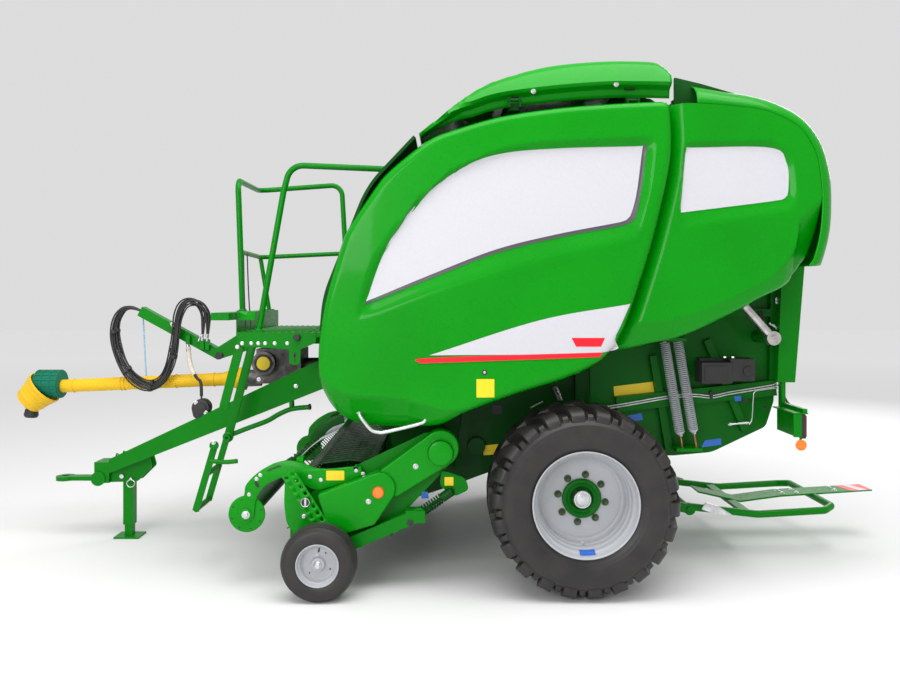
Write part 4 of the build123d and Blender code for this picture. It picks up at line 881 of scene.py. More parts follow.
def main_rims():
    """Stepped silver rim, green hub with its recess, silver cap, eight nuts, valve and a blank label."""
    rim = spun(rounded(RIM_LINE, 4, 4), WHEEL, steps=112, closed=True)
    for thing, (side, _) in zip(both_sides("main_rim", [rim], rim_silver, "wheel", 50), SIDES):
        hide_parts(f"rim_{side}")
    hub = rounded([(112, 216), (112, 191), (107, 185), (93, 184), (90, 188), (84, 190), (82, 195),
            (70, 197), (64, 203), (62, 224), (44, 226), (44, 330), (112, 330)], 2.5, 3)
    # The hub takes the darker wall green: painted shade in its recess.
    both_sides("main_hub", [spun(hub, WHEEL, steps=72, closed=True)], shaded_green_wall, "wheel", 40)
    cap = [(0, 240), (52, 240), (52, 166), (51, 162), (48, 159), (43, 159), (40, 162), (39, 168), (35, 169),
        (33, 166), (31, 165), (0, 164)]
    both_sides("hub_cap", [spun(cap, WHEEL, steps=56)], zinc, "wheel", 35)
    nuts, stems = [], []
    for place in range(STUD_COUNT):
        angle = math.radians(9.6 + 360 / STUD_COUNT * place)
        spot = np.array((STUD_CIRCLE * math.sin(angle), 206, STUD_CIRCLE * math.cos(angle))) + WHEEL
        nuts += bolt(spot, LEFT, 28, 20)
        stems.append(spun([(0, 18), (9, 18), (9, 27), (7, 29), (0, 29)], spot, LEFT, 14))
    both_sides("wheel_nuts", nuts, nut_metal, "wheel")
    both_sides("wheel_studs", stems, nut_metal, "wheel")
    valve = spun([(0, 0), (9, 0), (9, 5), (4, 8), (4, 26), (5.5, 27), (5.5, 38), (4, 40), (0, 40)],
        np.array((1, 168, -250)) + WHEEL, (0, -0.94, 0.34), 16)
    both_sides("tyre_valve", [valve], zinc, "wheel")
    angle, depth = np.meshgrid(np.linspace(2.94, 3.26, 12), np.linspace(48, 96, 9), indexing="ij")
    radius = np.interp(depth, [31, 48, 64, 69, 78, 106], [288, 285, 277, 272, 268, 266]) - 1.6
    label = np.stack([radius * np.sin(angle), depth, radius * np.cos(angle)], axis=2).reshape(-1, 3) + WHEEL
    both_sides("rim_label", [(label, grid_faces(12, 9))], blue_film, "wheel", solid=False)


# Gauge wheels

GAUGE_WHEEL = (-1489, -1320, 212)
GAUGE_WIDTH = 165


def gauge_wheels():
    """Tyre with five grooves round its tread and fine ribs on its shoulder, dished rim with a cap."""
    place = GAUGE_WHEEL
    side = smooth_line([(112, 22), (116, 12), (124, 6), (140, 1.5), (160, 1), (178, 3.5), (192, 10),
            (202, 20), (208, 32), (211, 46), (212, 82.5)], 90)
    side[:, 1] -= 1.0 * np.cos(side[:, 0] * 2 * np.pi / 5) * (side[:, 0] > 186) * (side[:, 0] < 206)
    side[:, 1] = np.maximum(side[:, 1], 0.3)
    for groove in (44, 63, 82.5):
        side[:, 0] -= 6 * np.exp(-(((side[:, 1] - groove) / 3.2) ** 4)) * (side[:, 0] > 200)
    profile = np.vstack([side, (side * (1, -1) + (0, GAUGE_WIDTH))[::-1][1:],
            [(112, 120), (150, 110), (150, 55), (112, 45)]])
    tyres = both_sides("gauge_tyre_ribbed", [spun(profile, place, steps=96, closed=True)], tyre_rubber,
        "gauge_wheel", 30)
    rim = [(119, 12), (121, 6), (118, 2), (113, 4), (110, 14), (106, 24), (98, 30), (96, 44), (90, 54),
        (80, 57), (52, 54), (42, 50), (38, 44), (36, 30), (30, 28), (17, 28), (17, 34), (28, 36), (32, 50),
        (40, 58), (52, 62), (84, 64), (98, 62), (104, 110), (112, 150), (118, 160), (121, 156), (114, 140),
        (110, 60), (112, 30), (116, 22)]
    rims = both_sides("gauge_rim_dished", [spun(rounded(rim, 2.5, 3), place, steps=80, closed=True)],
        rim_silver, "gauge_wheel", 50)
    for thing, dish, (side_name, _) in zip(tyres, rims, SIDES):
        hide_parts(f"gauge_tyre_{side_name}")
        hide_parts(f"gauge_rim_{side_name}")
    cap = [(0, 40), (22, 40), (22, 20), (19, 16), (16, 14), (16, 4), (14, 1.5), (0, 1)]
    both_sides("gauge_cap", [spun(cap, place, steps=36)], zinc, "gauge_wheel")
    # Black discs and a slot stand for the rim's holes: painted shade.
    holes = []
    for angle in (0.6, 2.0, 3.9):
        holes.append(spun(rod_line(4.5, 1),
                np.array((72 * math.sin(angle), 54.4, 72 * math.cos(angle))) + place, LEFT, 14))
    slot = plate(rounded([(-4, 62), (6, 62), (10, 92), (2, 92)], 3) + (place[0], place[2]), -1320 + 54.8,
        -1320 + 56, 0.2, 2)
    both_sides("gauge_rim_hole_shades", holes + [slot], black_rubber, "gauge_wheel")


# Pickup

UPPER_COVER = round_hull([(-810, 826, 105), (-1143, 692, 14), (-1064, 563, 14)])
LOWER_COVER = round_hull(
    [(-1161, 600, 93), (-1496, 556, 16), (-1440, 400, 22), (-1392, 352, 18), (-1200, 408, 18)])


CHAIN_BOSS = (-810, -1125, 804)
STRIP_KNOB = (-1580, -1153, 527)


def pickup_details():
    """Chain covers, adjusting strip, reflector, knob, spring strut and bolt heads of the pickup's side."""
    covers = [plate(UPPER_COVER, -1125, -1043, 11, 6), plate(LOWER_COVER, -1148, -1043, 11, 6)]
    covers.append(spun([(0, 0), (71, 0), (71, 27), (68.5, 33), (62, 36), (0, 36)], CHAIN_BOSS, LEFT, 64))
    covers.append(spun([(73, 0), (82, 0), (81, 3), (76, 4), (73, 2)], CHAIN_BOSS, LEFT, 64, closed=True))
    shells = both_sides("chain_cover", covers, green_panel, "pickup", 30)
    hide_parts("chain_covers")
    strip = both_sides("adjusting_strip", perforated((-1684, 694), (-1470, 360), 84, 2, 9, 9.5, -1152),
        green_panel, "pickup", solid=False)
    for thing in strip:
        weld = thing.modifiers.new("join", "WELD")
        weld.merge_threshold = 0.0004
        thicken(thing, 6, 1)
    edge = [(-1716, 652), (-1722, 500), (-1708, 380), (-1640, 292), (-1560, 258), (-1486, 246),
        (-1470, 330), (-1560, 460), (-1640, 600)]
    side_plate = plate(rounded(edge, 30), -1064, -1052, 2)
    both_sides("pickup_shield", [side_plate], green_panel, "pickup")
    lens = [(0, 0), (35, 0), (35, 4), (33, 7), (0, 8)]
    glow = [(0, 8), (29, 8), (27, 10), (22, 11), (0, 12)]
    spot = (-1167, -1148, 580)
    both_sides("reflector_ring", [spun(lens, spot, LEFT, 40)], orange_rim, "pickup")
    lines = [plate(ring_line(spot[0], spot[2], 26 - 6 * k, 36), -1160.6 - 0.3 * k, -1159, 0.2, 2)
        for k in range(4)]
    both_sides("reflector_lens", [spun(glow, spot, LEFT, 40)] + lines, orange_glass, "pickup")
    knob = [spun(cap_line(27, 10, 24, 13), STRIP_KNOB, LEFT, 32)]
    both_sides("strip_knob", knob, black_rubber, "pickup")
    ring = spun([(22, 12), (26, 12), (26, 15), (24.5, 16), (22, 15)], STRIP_KNOB, LEFT, 32, closed=True)
    bar = rounded([(-1586, 508), (-1574, 508), (-1574, 546), (-1586, 546)], 3)
    both_sides("knob_ring", [ring, plate(bar, -1167.5, -1164, 0.6, 2)], zinc, "pickup")
    heads = []
    for x, y, z, wide in ((-1222, -1148, 528, 20), (-953, -1125, 724, 20), (-1604, -1064, 421, 18),
            (-1120, -1125, 645, 16)):
        heads += bolt((x, y, z), LEFT, wide, 9)
    both_sides("pickup_bolts", heads, zinc, "pickup")
    # A black disc stands for the arm's socket hole: painted shade.
    arm_hole = spun(cap_line(19, 2, 15, 3), (-984, -1131, 404), LEFT, 28)
    both_sides("arm_socket_shade", [arm_hole], black_rubber, "pickup")
    low, high = np.array((-935, -1092, 446.0)), np.array((-742, -1092, 577.0))
    strut = [spun(rod_line(11, 236), low, high - low, 16),
        spun([(0, 8), (30, 8), (32, 14), (30, 20), (0, 20)], low, high - low, 28),
        spun([(0, 160), (28, 160), (28, 230), (20, 236), (0, 236)], low, high - low, 24)]
    strut += [coil(low + (high - low) * 0.10, low + (high - low) * 0.68, 27, 5, 8)]
    clevis = [plate(round_hull([(-930, 448, 34), (-990, 440, 24)], 60), -1118, -1068, 3),
        plate(rounded([(-805, 691), (-667, 645), (-644, 576), (-730, 535), (-817, 599)], 26), -1064, -1056,
            2)]
    # The strut takes the darker inner green: painted shade.
    both_sides("spring_strut", strut, shaded_green_inner, "pickup", 40)
    both_sides("strut_brackets", clevis, green_frame, "pickup")


GUARD_PIVOT = (-1939, 435)


def windrow_guards():
    """Curved side arms with their discs, the cross bar, the comb's wires and the damping springs."""
    upper = [(-1990, 455), (-1952, 545), (-1940, 606), (-1879, 672), (-1804, 719), (-1756, 738),
        (-1690, 748), (-1615, 734), (-1539, 706), (-1463, 700), (-1388, 706), (-1330, 712), (-1272, 712)]
    lower = [(-1262, 664), (-1349, 628), (-1463, 592), (-1539, 580), (-1615, 616), (-1709, 652),
        (-1794, 624), (-1832, 600), (-1870, 550), (-1888, 490), (-1894, 420)]
    line = np.vstack([smooth_line(upper, 60), smooth_line(lower, 50),
            ring_line(-1941, 436, 50, 24)[[20, 19, 18, 17, 16, 15, 14]]])
    arms = [plate(line, -1078, -1064, 2.5), plate(ring_line(*GUARD_PIVOT, 106, 72), -1066, -1052, 2.5),
        spun(cap_line(34, 5, 30, 7), (-1939, -1078, 435), LEFT, 36),
        spun(rod_line(22, 1064), (-1939, -1064, 435), steps=20),
        plate(rounded([(-1650, 733), (-1610, 733), (-1610, 763), (-1650, 763)], 5), -1064, 0, 2)]
    guard = make_piece("windrow_guard_frame", arms, green_panel, "windrow_guard", 30, mid_mirror=True)
    for name in ("windrow_guard", "windrow_bars"):
        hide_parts(name)
    wires = []
    for k in range(30):
        y = -1015 + k * 70
        wires.append(tube([(-1636, y, 755), (-1590, y, 802), (-1520, y, 858), (-1420, y, 904)], 3.6, 6, 14))
    comb = make_piece("comb_wires", wires, spring_steel, "windrow_guard")
    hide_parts("windrow_comb")
    # Black discs and slots stand for the disc's and the arm's holes: painted shade.
    dots = [plate(ring_line(GUARD_PIVOT[0] + 88 * math.cos(a), GUARD_PIVOT[1] + 88 * math.sin(a), 6, 14),
            -1066.6, -1065, 0.3, 2) for a in np.arange(8) * math.pi / 4 + 0.3]
    dots.append(plate(round_hull([(-1880, 618, 11), (-1872, 604, 11)], 40), -1079, -1077, 0.4, 2))
    dots.append(plate(round_hull([(-1812, 690, 5), (-1742, 718, 5)], 40), -1079, -1077, 0.4, 2))
    make_piece("guard_disc_hole_shades", dots, black_rubber, "windrow_guard", mid_mirror=True)
    heads = bolt((-1939, -1085, 435), LEFT, 30, 13)
    for x, z in ((-1921, 552), (-1878, 642), (-1856, 664), (-1568, 654), (-1505, 636), (-1300, 690),
            (-1260, 672)):
        heads += bolt((x, -1078, z), LEFT, 15, 7)
    make_piece("guard_bolts", heads, zinc, "windrow_guard", mid_mirror=True)
    start, end = np.array((-1712, -985, 712.0)), np.array((-1530, -985, 846.0))
    damper = [coil(start + (end - start) * 0.2, end, 21, 6, 8),
        spun(rod_line(11, 232), start, end - start, 16),
        spun([(0, 0), (24, 0), (26, 6), (24, 40), (0, 40)], start, end - start, 24),
        plate(round_hull([(-1722, 706, 26), (-1650, 735, 16)], 50), -1000, -970, 3)]
    # The dampers take the darker inner green: painted shade.
    make_piece("guard_dampers", damper, shaded_green_inner, "windrow_guard", 40, mid_mirror=True)
    arch = smooth_line([(-1618, 770), (-1572, 896), (-1486, 966), (-1400, 996)], 30)
    back = smooth_line([(-1392, 940), (-1460, 915), (-1505, 875), (-1552, 790)], 30)
    # The hanger takes the darker inner green: painted shade.
    hanger = make_piece("guard_hanger", [plate(np.vstack([arch, back]), -900, -888, 2)], shaded_green_inner,
        "chassis", mid_mirror=True)
    soften(hanger, 1)


# Doors' fittings, hood's fittings and the tailgate's side

def door_details():
    """Bent handle tube on two feet, and the lock."""
    handle = tube([(-1276, -1142, 1046), (-1262, -1158, 1010), (-1206, -1166, 942), (-1170, -1166, 928),
            (-1120, -1166, 930), (-930, -1166, 976), (-896, -1162, 1000), (-872, -1146, 1040)], 11.5, 16,
        70)
    feet = [spun(cap_line(20, 5, 16, 8), place, (0, -1, 0.15), 24)
        for place in ((-1276, -1140, 1046), (-872, -1140, 1040))]
    both_sides("door_handle", [handle] + feet, zinc, "door")
    lock = [spun(cap_line(15, 2, 11, 3), (-563, -1249, 1275), LEFT, 28)]
    both_sides("door_lock_ring", lock, black_rubber, "door")
    both_sides("door_lock", bolt((-563, -1251, 1275), LEFT, 14, 4, False), zinc, "door")


def hood_details():
    """Bolt heads of the hood, and the fins that close the gap behind it, their dark green painted shade."""
    heads = []
    for x, z in ((-279, 2872), (195, 2912)):
        heads += bolt((x, -1146, z), LEFT, 18, 7)
    make_piece("hood_bolts", heads, zinc, "chassis", mid_mirror=True)
    fin = rounded([(545, 2800), (545, 2975), (700, 2938), (900, 2880), (975, 2850), (777, 2800)], 12)
    make_piece("tailgate_fins", [plate(fin, -1068, -1060, 2)], shaded_green_inner, "tailgate", mid_mirror=True)
    fin_bolt = bolt((760, -1068, 2815), LEFT, 16, 7)
    make_piece("fin_bolts", fin_bolt, zinc, "tailgate", mid_mirror=True)


def tension_coils():
    """Two long coil springs with their end caps, threaded rods and nuts."""
    coils, rods, nuts = [], [], []
    for top, low in (((576, 1418), (669, 861)), ((657, 1432), (753, 875))):
        start, end = np.array([(x, -745.0, z) for x, z in (top, low)])
        way = (end - start) / np.linalg.norm(end - start)
        coils.append(coil(start, end, 28, 3.5, 46))
        coils.append(spun(cap_line(25, 12, 10, 26), end - way * 4, way, 20))
        coils.append(tube([start, start + (0, 0, 14)], 12, 12, 4, (0, 1, 0)))
        rods.append(spun(rod_line(7.5, 100), end + way * 14, way, 12))
        nuts += bolt(end + way * 112, way, 22, 12) + bolt(end + way * 14, way, 24, 14, False)
    for thing in both_sides("tension_coil", coils, spring_grey, "tailgate", 50)[:1]:
        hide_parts("tension_springs")
    both_sides("tension_rods", rods, copper, "tailgate")
    both_sides("tension_nuts", nuts, zinc, "tailgate")


PIPE_Y = -712
REFLECTOR = (1290, -1052, 834)


def tailgate_details():
    """Oil pipes, hoses, valve blocks, lubricator, fittings and lamps of the tailgate's lower wall."""
    lines = []
    for shift in (0, 14):
        lines.append(tube([(131 + shift, PIPE_Y, 1001 - shift), (300, PIPE_Y, 1026 - shift),
                    (595, PIPE_Y, 1078 - shift), (760, PIPE_Y, 1092 - shift), (880, PIPE_Y, 1084 - shift),
                    (1000, PIPE_Y, 1108 - shift), (1240, PIPE_Y, 1146 - shift),
                    (1284 + shift, PIPE_Y, 1168 - shift), (1300 + shift, PIPE_Y, 1215),
                    (1304 + shift, PIPE_Y, 1340)], 4.5, 8, 110))
        lines.append(tube([(1304 + shift, PIPE_Y, 1400), (1302 + shift, PIPE_Y, 1470),
                    (1285 + shift, -716, 1500), (1240 + shift, -722, 1530)], 4.5, 8, 30))
    lines.append(tube([(1290, PIPE_Y, 1130), (1200, PIPE_Y, 1120), (1148, PIPE_Y, 1106),
                (1138, PIPE_Y, 1060), (1130, PIPE_Y, 940), (1112, PIPE_Y, 900)], 4, 8, 40))
    both_sides("oil_pipes", lines, zinc, "tailgate", 60)
    hose_line = [tube([(1325, -716, 1345), (1328, -720, 1230), (1322, -722, 1110), (1345, -740, 1040),
                (1392, -760, 1010)], 6.5, 10, 50),
        tube([(1180, -706, 1610), (1190, PIPE_Y, 1540), (1215, -716, 1500)], 5.5, 10, 20),
        tube([(1196, -706, 1614), (1206, PIPE_Y, 1545), (1232, -716, 1508)], 5.5, 10, 20)]
    both_sides("tailgate_hoses", hose_line, black_rubber, "tailgate", 60)
    block = both_sides("valve_block",
        [brick((1288, -742, 1344), (1334, -700, 1404)), brick((864, -724, 1066), (884, -700, 1112))],
        black_rubber, "tailgate")
    box = [brick((774, -856, 1172), (960, -704, 1300)), brick((950, -848, 1186), (1100, -704, 1322)),
        brick((800, -718, 1295), (1080, -652, 1318)), brick((790, -860, 1192), (932, -850, 1280))]
    box.append(spun(cap_line(32, 5, 24, 8), (1058, -848, 1246), LEFT, 32))
    case = make_piece("lubricator_case", box, black_rubber, "tailgate")
    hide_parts("lubricator")
    for thing in block + [case]:
        soften(thing, 5, 3)
    fittings = bolt((935, -790, 1322), (0, 0, 1), 17, 12) + bolt((985, -790, 1322), (0, 0, 1), 17, 12)
    for k, (x, z) in enumerate(
            ((1300, 1410), (1316, 1410), (1346, 1372), (1346, 1352), (1238, 1532), (1262, 1520))):
        fittings += bolt((x, -716, z), (0, 0, 1) if k < 2 else (0.8, -0.6, 0.2), 15, 10)
    for z in (1684, 1668):
        fittings += bolt((1296, -706, z), LEFT, 22, 9)
    buckle = [tube([(980, PIPE_Y, 902), (1113, PIPE_Y, 914)], 6, 10, 8, (0, 0, 1))]
    buckle += bolt((1000, PIPE_Y, 904), (-1, 0, 0), 17, 10, False)
    buckle += bolt((1090, PIPE_Y, 912), (1, 0, 0), 17, 10, False)
    both_sides("tailgate_fitting", fittings + buckle, zinc, "tailgate")
    # Black discs stand for the rails' holes: painted shade.
    holes = [plate(ring_line(1085, 1054, 15, 24), -729, -727, 0.3, 2),
        plate(ring_line(1222, 1010, 12, 24), -697, -690, 0.3, 2)]
    both_sides("rail_hole_shades", holes, black_rubber, "tailgate")
    bracket = [brick((1240, -1064, 1015), (1330, -760, 1023)),
        brick((1262, -1058, 880), (1292, -770, 1016)), brick((1244, -1062, 880), (1292, -1054, 1016))]
    lamp_frame = [brick((1290, -1060, 872), (1318, -764, 1012))]
    lenses = [brick((1316, -1052, 880), (1326, -960, 1004)), brick((1316, -864, 880), (1326, -772, 1004))]
    glass = [brick((1316, -956, 880), (1326, -868, 1004))]
    pieces = both_sides("lamp_bracket", bracket, green_frame, "tailgate")
    pieces += both_sides("lamp_frame", lamp_frame, lamp_black, "tailgate")
    pieces += both_sides("lamp_lens", lenses, lamp_red, "tailgate")
    pieces += both_sides("lamp_middle_lens", glass, orange_glass, "tailgate")
    for thing in pieces:
        soften(thing, 3, 2)
    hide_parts("rear_lamps")
    both_sides("rear_reflector",
        [spun([(0, 0), (32, 0), (32, 6), (28, 9), (0, 10)], REFLECTOR, LEFT, 36),
            spun([(0, 0), (24, 0), (22, 3), (0, 4)], (1290, -1061, 834), LEFT, 36)], orange_glass,
        "tailgate")
    both_sides("reflector_holder", [brick((1284, -1052, 830), (1296, -1046, 884))], green_frame, "tailgate")


# Drawbar, shaft, platform and ladder fittings

GEARBOX_LABEL = (-2040, -200, 1244)


def shaft_details():
    """Gearbox label, and the drive shaft's rings, bell, ribbed collar and yoke."""
    ring = [(46, 0), (62, 0), (62, 4), (58, 6), (50, 6), (46, 4)]
    make_piece("gearbox_label_ring", [spun(ring, GEARBOX_LABEL, LEFT, 48, closed=True)], black_rubber,
        "chassis")
    make_piece("gearbox_label", [spun(rod_line(47, 3), GEARBOX_LABEL, LEFT, 48)], yellow_film, "chassis")
    front, rear = np.array((-3521, 0, 1067.0)), np.array((-2361, 0, 1117.0))
    way = (rear - front) / np.linalg.norm(rear - front)
    rings = [spun([(45, -5), (49, -5), (50, -3), (50, 3), (49, 5), (45, 5)], front + way * far, way, 40,
            closed=True) for far in (90, 430, 455, 820, 1090)]
    bell, aim = np.array((-3625, 0, 1055.0)), np.array((-1, 0, -1.0)) / math.sqrt(2)
    mouth = np.array((-3636, 0, 1063.0))
    cone = [(120, 4), (126, 0), (130, 4), (129, 22), (124, 28), (122, 52), (116, 57), (114, 84), (109, 89),
        (107, 118), (102, 123), (98, 158), (94, 164), (86, 162), (96, 118), (108, 70), (118, 24)]
    rings.append(spun(cone, mouth, (-0.757, 0, -0.653), 56, closed=True))
    make_piece("shaft_guard_rings", rings, yellow_plastic, "chassis", 40)
    place, turn = np.array((-3600, 0, 1083.5)), np.arange(16) * math.pi / 8
    ribs = [carried(place + np.array([(end, 96 * math.cos(a), 96 * math.sin(a)) for end in (-80, 80)]),
            [(-5, -4), (5, -4), (4, 4), (-4, 4)], (0, -math.sin(a), math.cos(a))) for a in turn]
    ribs += [spun([(94, -4), (100, -4), (101, 0), (100, 4), (94, 4)], place + (far, 0, 0), (1, 0, 0), 56,
            closed=True) for far in (-78, -30, 30, 78)]
    make_piece("shaft_collar_ribs", ribs, teal_plastic, "chassis", 40)
    knurl = [spun([(30, -4), (39, -4), (40, 0), (39, 4), (30, 4)], bell + aim * far, aim, 30, closed=True)
        for far in (126, 150, 168)]
    make_piece("yoke_collar", knurl, nut_metal, "chassis", 40)
    make_piece("yoke_neck", [spun(rod_line(27, 60), (-3728, 0, 955), (-0.1, 0, -1), 24)], steel, "chassis",
        40)
    yoke_end = [(0, 0), (40, 0), (44, 4), (45, 22), (48, 28), (48, 44), (44, 50), (40, 56), (0, 56)]
    make_piece("yoke_end", [spun(yoke_end, (-3733, 0, 902), (-0.1, 0, -1), 36)], black_rubber, "chassis",
        40)


def drawbar_details():
    """Caps, bolt heads, keyhole, jack pin and the drawbar's hooks."""
    caps = [spun(cap_line(27, 5, 22, 9), (-2382, -58, 1288), LEFT, 32),
        spun(cap_line(20, 10, 16, 14), (-1679, -470, 980), (1, 0, 0.1), 24),
        spun(cap_line(21, 12, 17, 16), (-1684, -862, 1453), LEFT, 24)]
    make_piece("black_caps", caps, black_rubber, "chassis")
    heads = []
    for x in (-2018, -1963, -1920, -1878, -1820, -1744):
        heads += bolt((x, -856, 1417), LEFT, 15, 7)
    for x, y, z in ((-2050, -845, 1394), (-2194, -845, 812), (-1740, -600, 1130), (-1996, -520, 1165)):
        heads += bolt((x, y, z), LEFT, 17, 8)
    make_piece("platform_bolts", heads, zinc, "chassis")
    # Black plates stand for the keyhole's opening: painted shade.
    slot = [plate(round_hull([(-1699, 1345, 9), (-1699, 1352, 9)], 40), -857.5, -855, 0.3, 2),
        plate(round_hull([(-1699, 1306, 4), (-1699, 1342, 4)], 40), -857.5, -855, 0.3, 2)]
    make_piece("keyhole", slot, black_rubber, "chassis")
    pin = [tube([(-2999, -76, 423), (-2999, 76, 423)], 9, 12, 10, (1, 0, 0)),
        tube([(-2999, -78, 423), (-3024, -84, 400), (-3010, -88, 372), (-2980, -88, 372), (-2968, -84, 400),
                (-2999, -78, 423)], 3, 8, 50, (0, 1, 0.1)),
        spun([(0, 0), (15, 0), (15, 5), (0, 6)], (-3068, -62, 438), LEFT, 24)]
    make_piece("jack_pin", pin, zinc, "chassis")
    hooks = [tube([(-3110, -60, 560), (-3104, -60, 596), (-3088, -60, 588), (-3082, -60, 574)], 5, 8, 24),
        tube([(-3062, -58, 574), (-3056, -58, 612), (-3040, -58, 604), (-3034, -58, 590)], 5, 8, 24)]
    make_piece("drawbar_hooks", hooks, green_frame, "chassis", 60)


def platform_details():
    """Treads, step ropes, gate plates and the rails' collars."""
    bars = []
    for k in range(13):
        x = -2020 + k * 40
        bars.append(plate(rounded([(x - 9, 1484), (x + 9, 1484), (x + 6, 1489), (x - 6, 1489)], 1.5, 3),
                -838, 332, 1))
    make_piece("platform_treads", bars, green_frame, "chassis")
    ropes = [tube([(-2012, -845, 1960), (-2008, -846, 1740), (-2000, -846, 1500)], 4, 8, 30),
        tube([(-1990, -845, 1960), (-1982, -846, 1740), (-1968, -846, 1500)], 4, 8, 30)]
    make_piece("step_ropes", ropes, black_rubber, "chassis", 60)
    cross = [plate(rounded([(-2040, 1556), (-1944, 1556), (-1936, 1612), (-2040, 1612)], 4), -852, -844, 1)]
    make_piece("gate_plates", cross, green_panel, "chassis")
    spots = [((-2090, -560, 1613), (-0.04, 0, 1)), ((-1926, -820, 1494), (0.18, 0, 1)),
        ((-1510, 319, 1497), (-0.05, 0, 1))]
    collars = [spun([(17, 0), (26, 0), (25, 5), (20, 9), (17, 10)], place, way, 28, closed=True)
        for place, way in spots]
    make_piece("rail_collars", collars, green_frame, "chassis", 40)


def ladder():
    """Flat side strings, the grip's bent tube and the pivot's discs. The two rungs and the pivot's shaft
    don't show: their tubes run along Y, the side that tube() starts from, so their corners are no
    numbers."""
    foot = np.array((-2200, 789.0))
    head = np.array((-2032, 1425.0))
    way = (head - foot) / np.linalg.norm(head - foot)
    across = np.array((way[1], -way[0])) * 27
    strings = []
    for y, low in ((-834, 0.36), (-506, 0.0)):
        start = foot + (head - foot) * low
        line = rounded(np.array([start - across, start + across, head + across, head - across]), 8, 3)
        strings.append(plate(line, y, y + 10, 1.5))
    for z in (1330, 1130):
        x = -2200 + (z - 789) * 168 / 636
        strings.append(tube([(x, -826, z), (x, -500, z)], 15, 14, 4))
    strings.append(plate(ring_line(-2200, 789, 34, 40), -508, -494, 2))
    strings.append(plate(ring_line(-2200, 789, 28, 40), -822, -812, 2))
    strings.append(tube([(-2200, -816, 789), (-2200, -470, 789)], 12, 16, 4))
    grip = smooth_line([(-2190, -480, 798), (-2070, -480, 845), (-1950, -480, 890), (-1880, -480, 930),
            (-1810, -480, 962), (-1750, -480, 974), (-1679, -480, 980)], 60)
    strings.append(tube(grip, 16, 16, 60))
    strings.append(tube([(-1790, -470, 965), (-1800, -440, 1080)], 17, 16, 4))
    grip_end = tube([(-2215, -845, 700), (-2120, -845, 694), (-2050, -845, 700)], 14, 16, 20)
    piece = make_piece("ladder_strings", strings, green_frame, "chassis", 40)
    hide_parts("ladder")
    make_piece("ladder_grip", [grip_end], green_frame, "ladder_step", 40)


# Ramp and labels

def ramp_details():
    """Red and white end marking, bolt heads and gussets of the bale ramp."""
    stripes, whites = [], []
    for k, (start, end) in enumerate(((2040, 2096), (2096, 2146), (2146, 2200))):
        band = np.array(
            [(start + 22, -86), (end + 22 * (k < 2), -86), (end - 22 * (k < 2), 86), (start - 22, 86)],
            dtype=float)
        height = 350.6 - (2202 - band[:, 0]) * 0.0592
        (whites if k == 1 else stripes).append((np.column_stack([band, height]), [[0, 1, 2, 3]]))
    make_piece("ramp_red_marks", stripes, red_film, "bale_ramp", solid=False)
    make_piece("ramp_white_marks", whites, white_film, "bale_ramp", solid=False)
    heads = []
    for x, z in ((1590, 315), (1690, 320), (1960, 336)):
        heads += bolt((x, -45, z), (0, 0, 1), 22, 10) + bolt((x, 45, z), (0, 0, 1), 22, 10)
    make_piece("ramp_bolts", heads, zinc, "bale_ramp")
    gusset = plate(rounded([(900, 300), (1010, 260), (1110, 262), (1010, 322), (930, 345)], 10), -432, -424,
        1.5)
    make_piece("ramp_gussets", [gusset], zinc, "bale_ramp", mid_mirror=True)


def labels():
    """Blank printed foils on flat faces: outline, face, finish and body of each."""
    rows = [("yellow_labels", yellow_film, "tailgate",
            [([(277, 1133), (539, 1165), (554, 1070), (287, 1032)], -651)]),
        ("blue_labels", blue_film, "tailgate",
            [([(354, 944), (454, 966), (464, 922), (364, 908)], -651),
                ([(1020, 1077), (1062, 1081), (1067, 1049), (1027, 1046)], -707),
                ([(856, 793), (959, 805), (959, 765), (832, 748)], -651)]),
        ("pickup_yellow_labels", yellow_film, "windrow_guard",
            [([(-1474, 690), (-1369, 690), (-1369, 634), (-1474, 634)], -1078)]),
        ("strut_yellow_labels", yellow_film, "pickup",
            [([(-788, 650), (-736, 650), (-736, 600), (-788, 600)], -1064)]),
        ("strut_blue_labels", blue_film, "pickup",
            [([(-920, 560), (-885, 560), (-880, 520), (-925, 520)], -1042)]),
        ("wall_yellow_labels", yellow_film, "chassis",
            [([(-544, 760), (-443, 770), (-443, 706), (-544, 698)], -651)])]
    for name, material, body, patches in rows:
        parts = [plate(rounded(corners, 5, 4), y - 0.5, y + 0.6, 0.2, 2) for corners, y in patches]
        make_piece(name, parts, material, body, mid_mirror=True)
    arm = np.array((-0.876, 0, 0.482))
    middle = np.array((-2520, -35.6, 1376.0))
    flat = np.array([(-42, -20), (42, -20), (42, 20), (-42, 20)])
    corners = middle + flat[:, :1] * arm + flat[:, 1:] * np.array((0.482, 0, 0.876))
    make_piece("arm_label", [plate(rounded(corners[:, [0, 2]], 4, 4), -36, -34.5, 0.2, 2)], blue_film,
        "chassis")
    # A black square stands for the wall's hole: painted shade.
    square = [plate(rounded([(-490, 958), (-430, 958), (-430, 1016), (-490, 1016)], 6), -652, -650, 0.4, 2)]
    make_piece("wall_square_hole_shade", square, black_rubber, "chassis", mid_mirror=True)
    springs = [coil((-94, -664, 1134), (-60, -664, 1050), 16, 4, 12),
        tube([(-250, -664, 1000), (-170, -664, 1040)], 6, 8, 8)]
    make_piece("wall_springs", springs, zinc, "chassis", 50, mid_mirror=True)


# Cords: their routes' points are those of the part's source

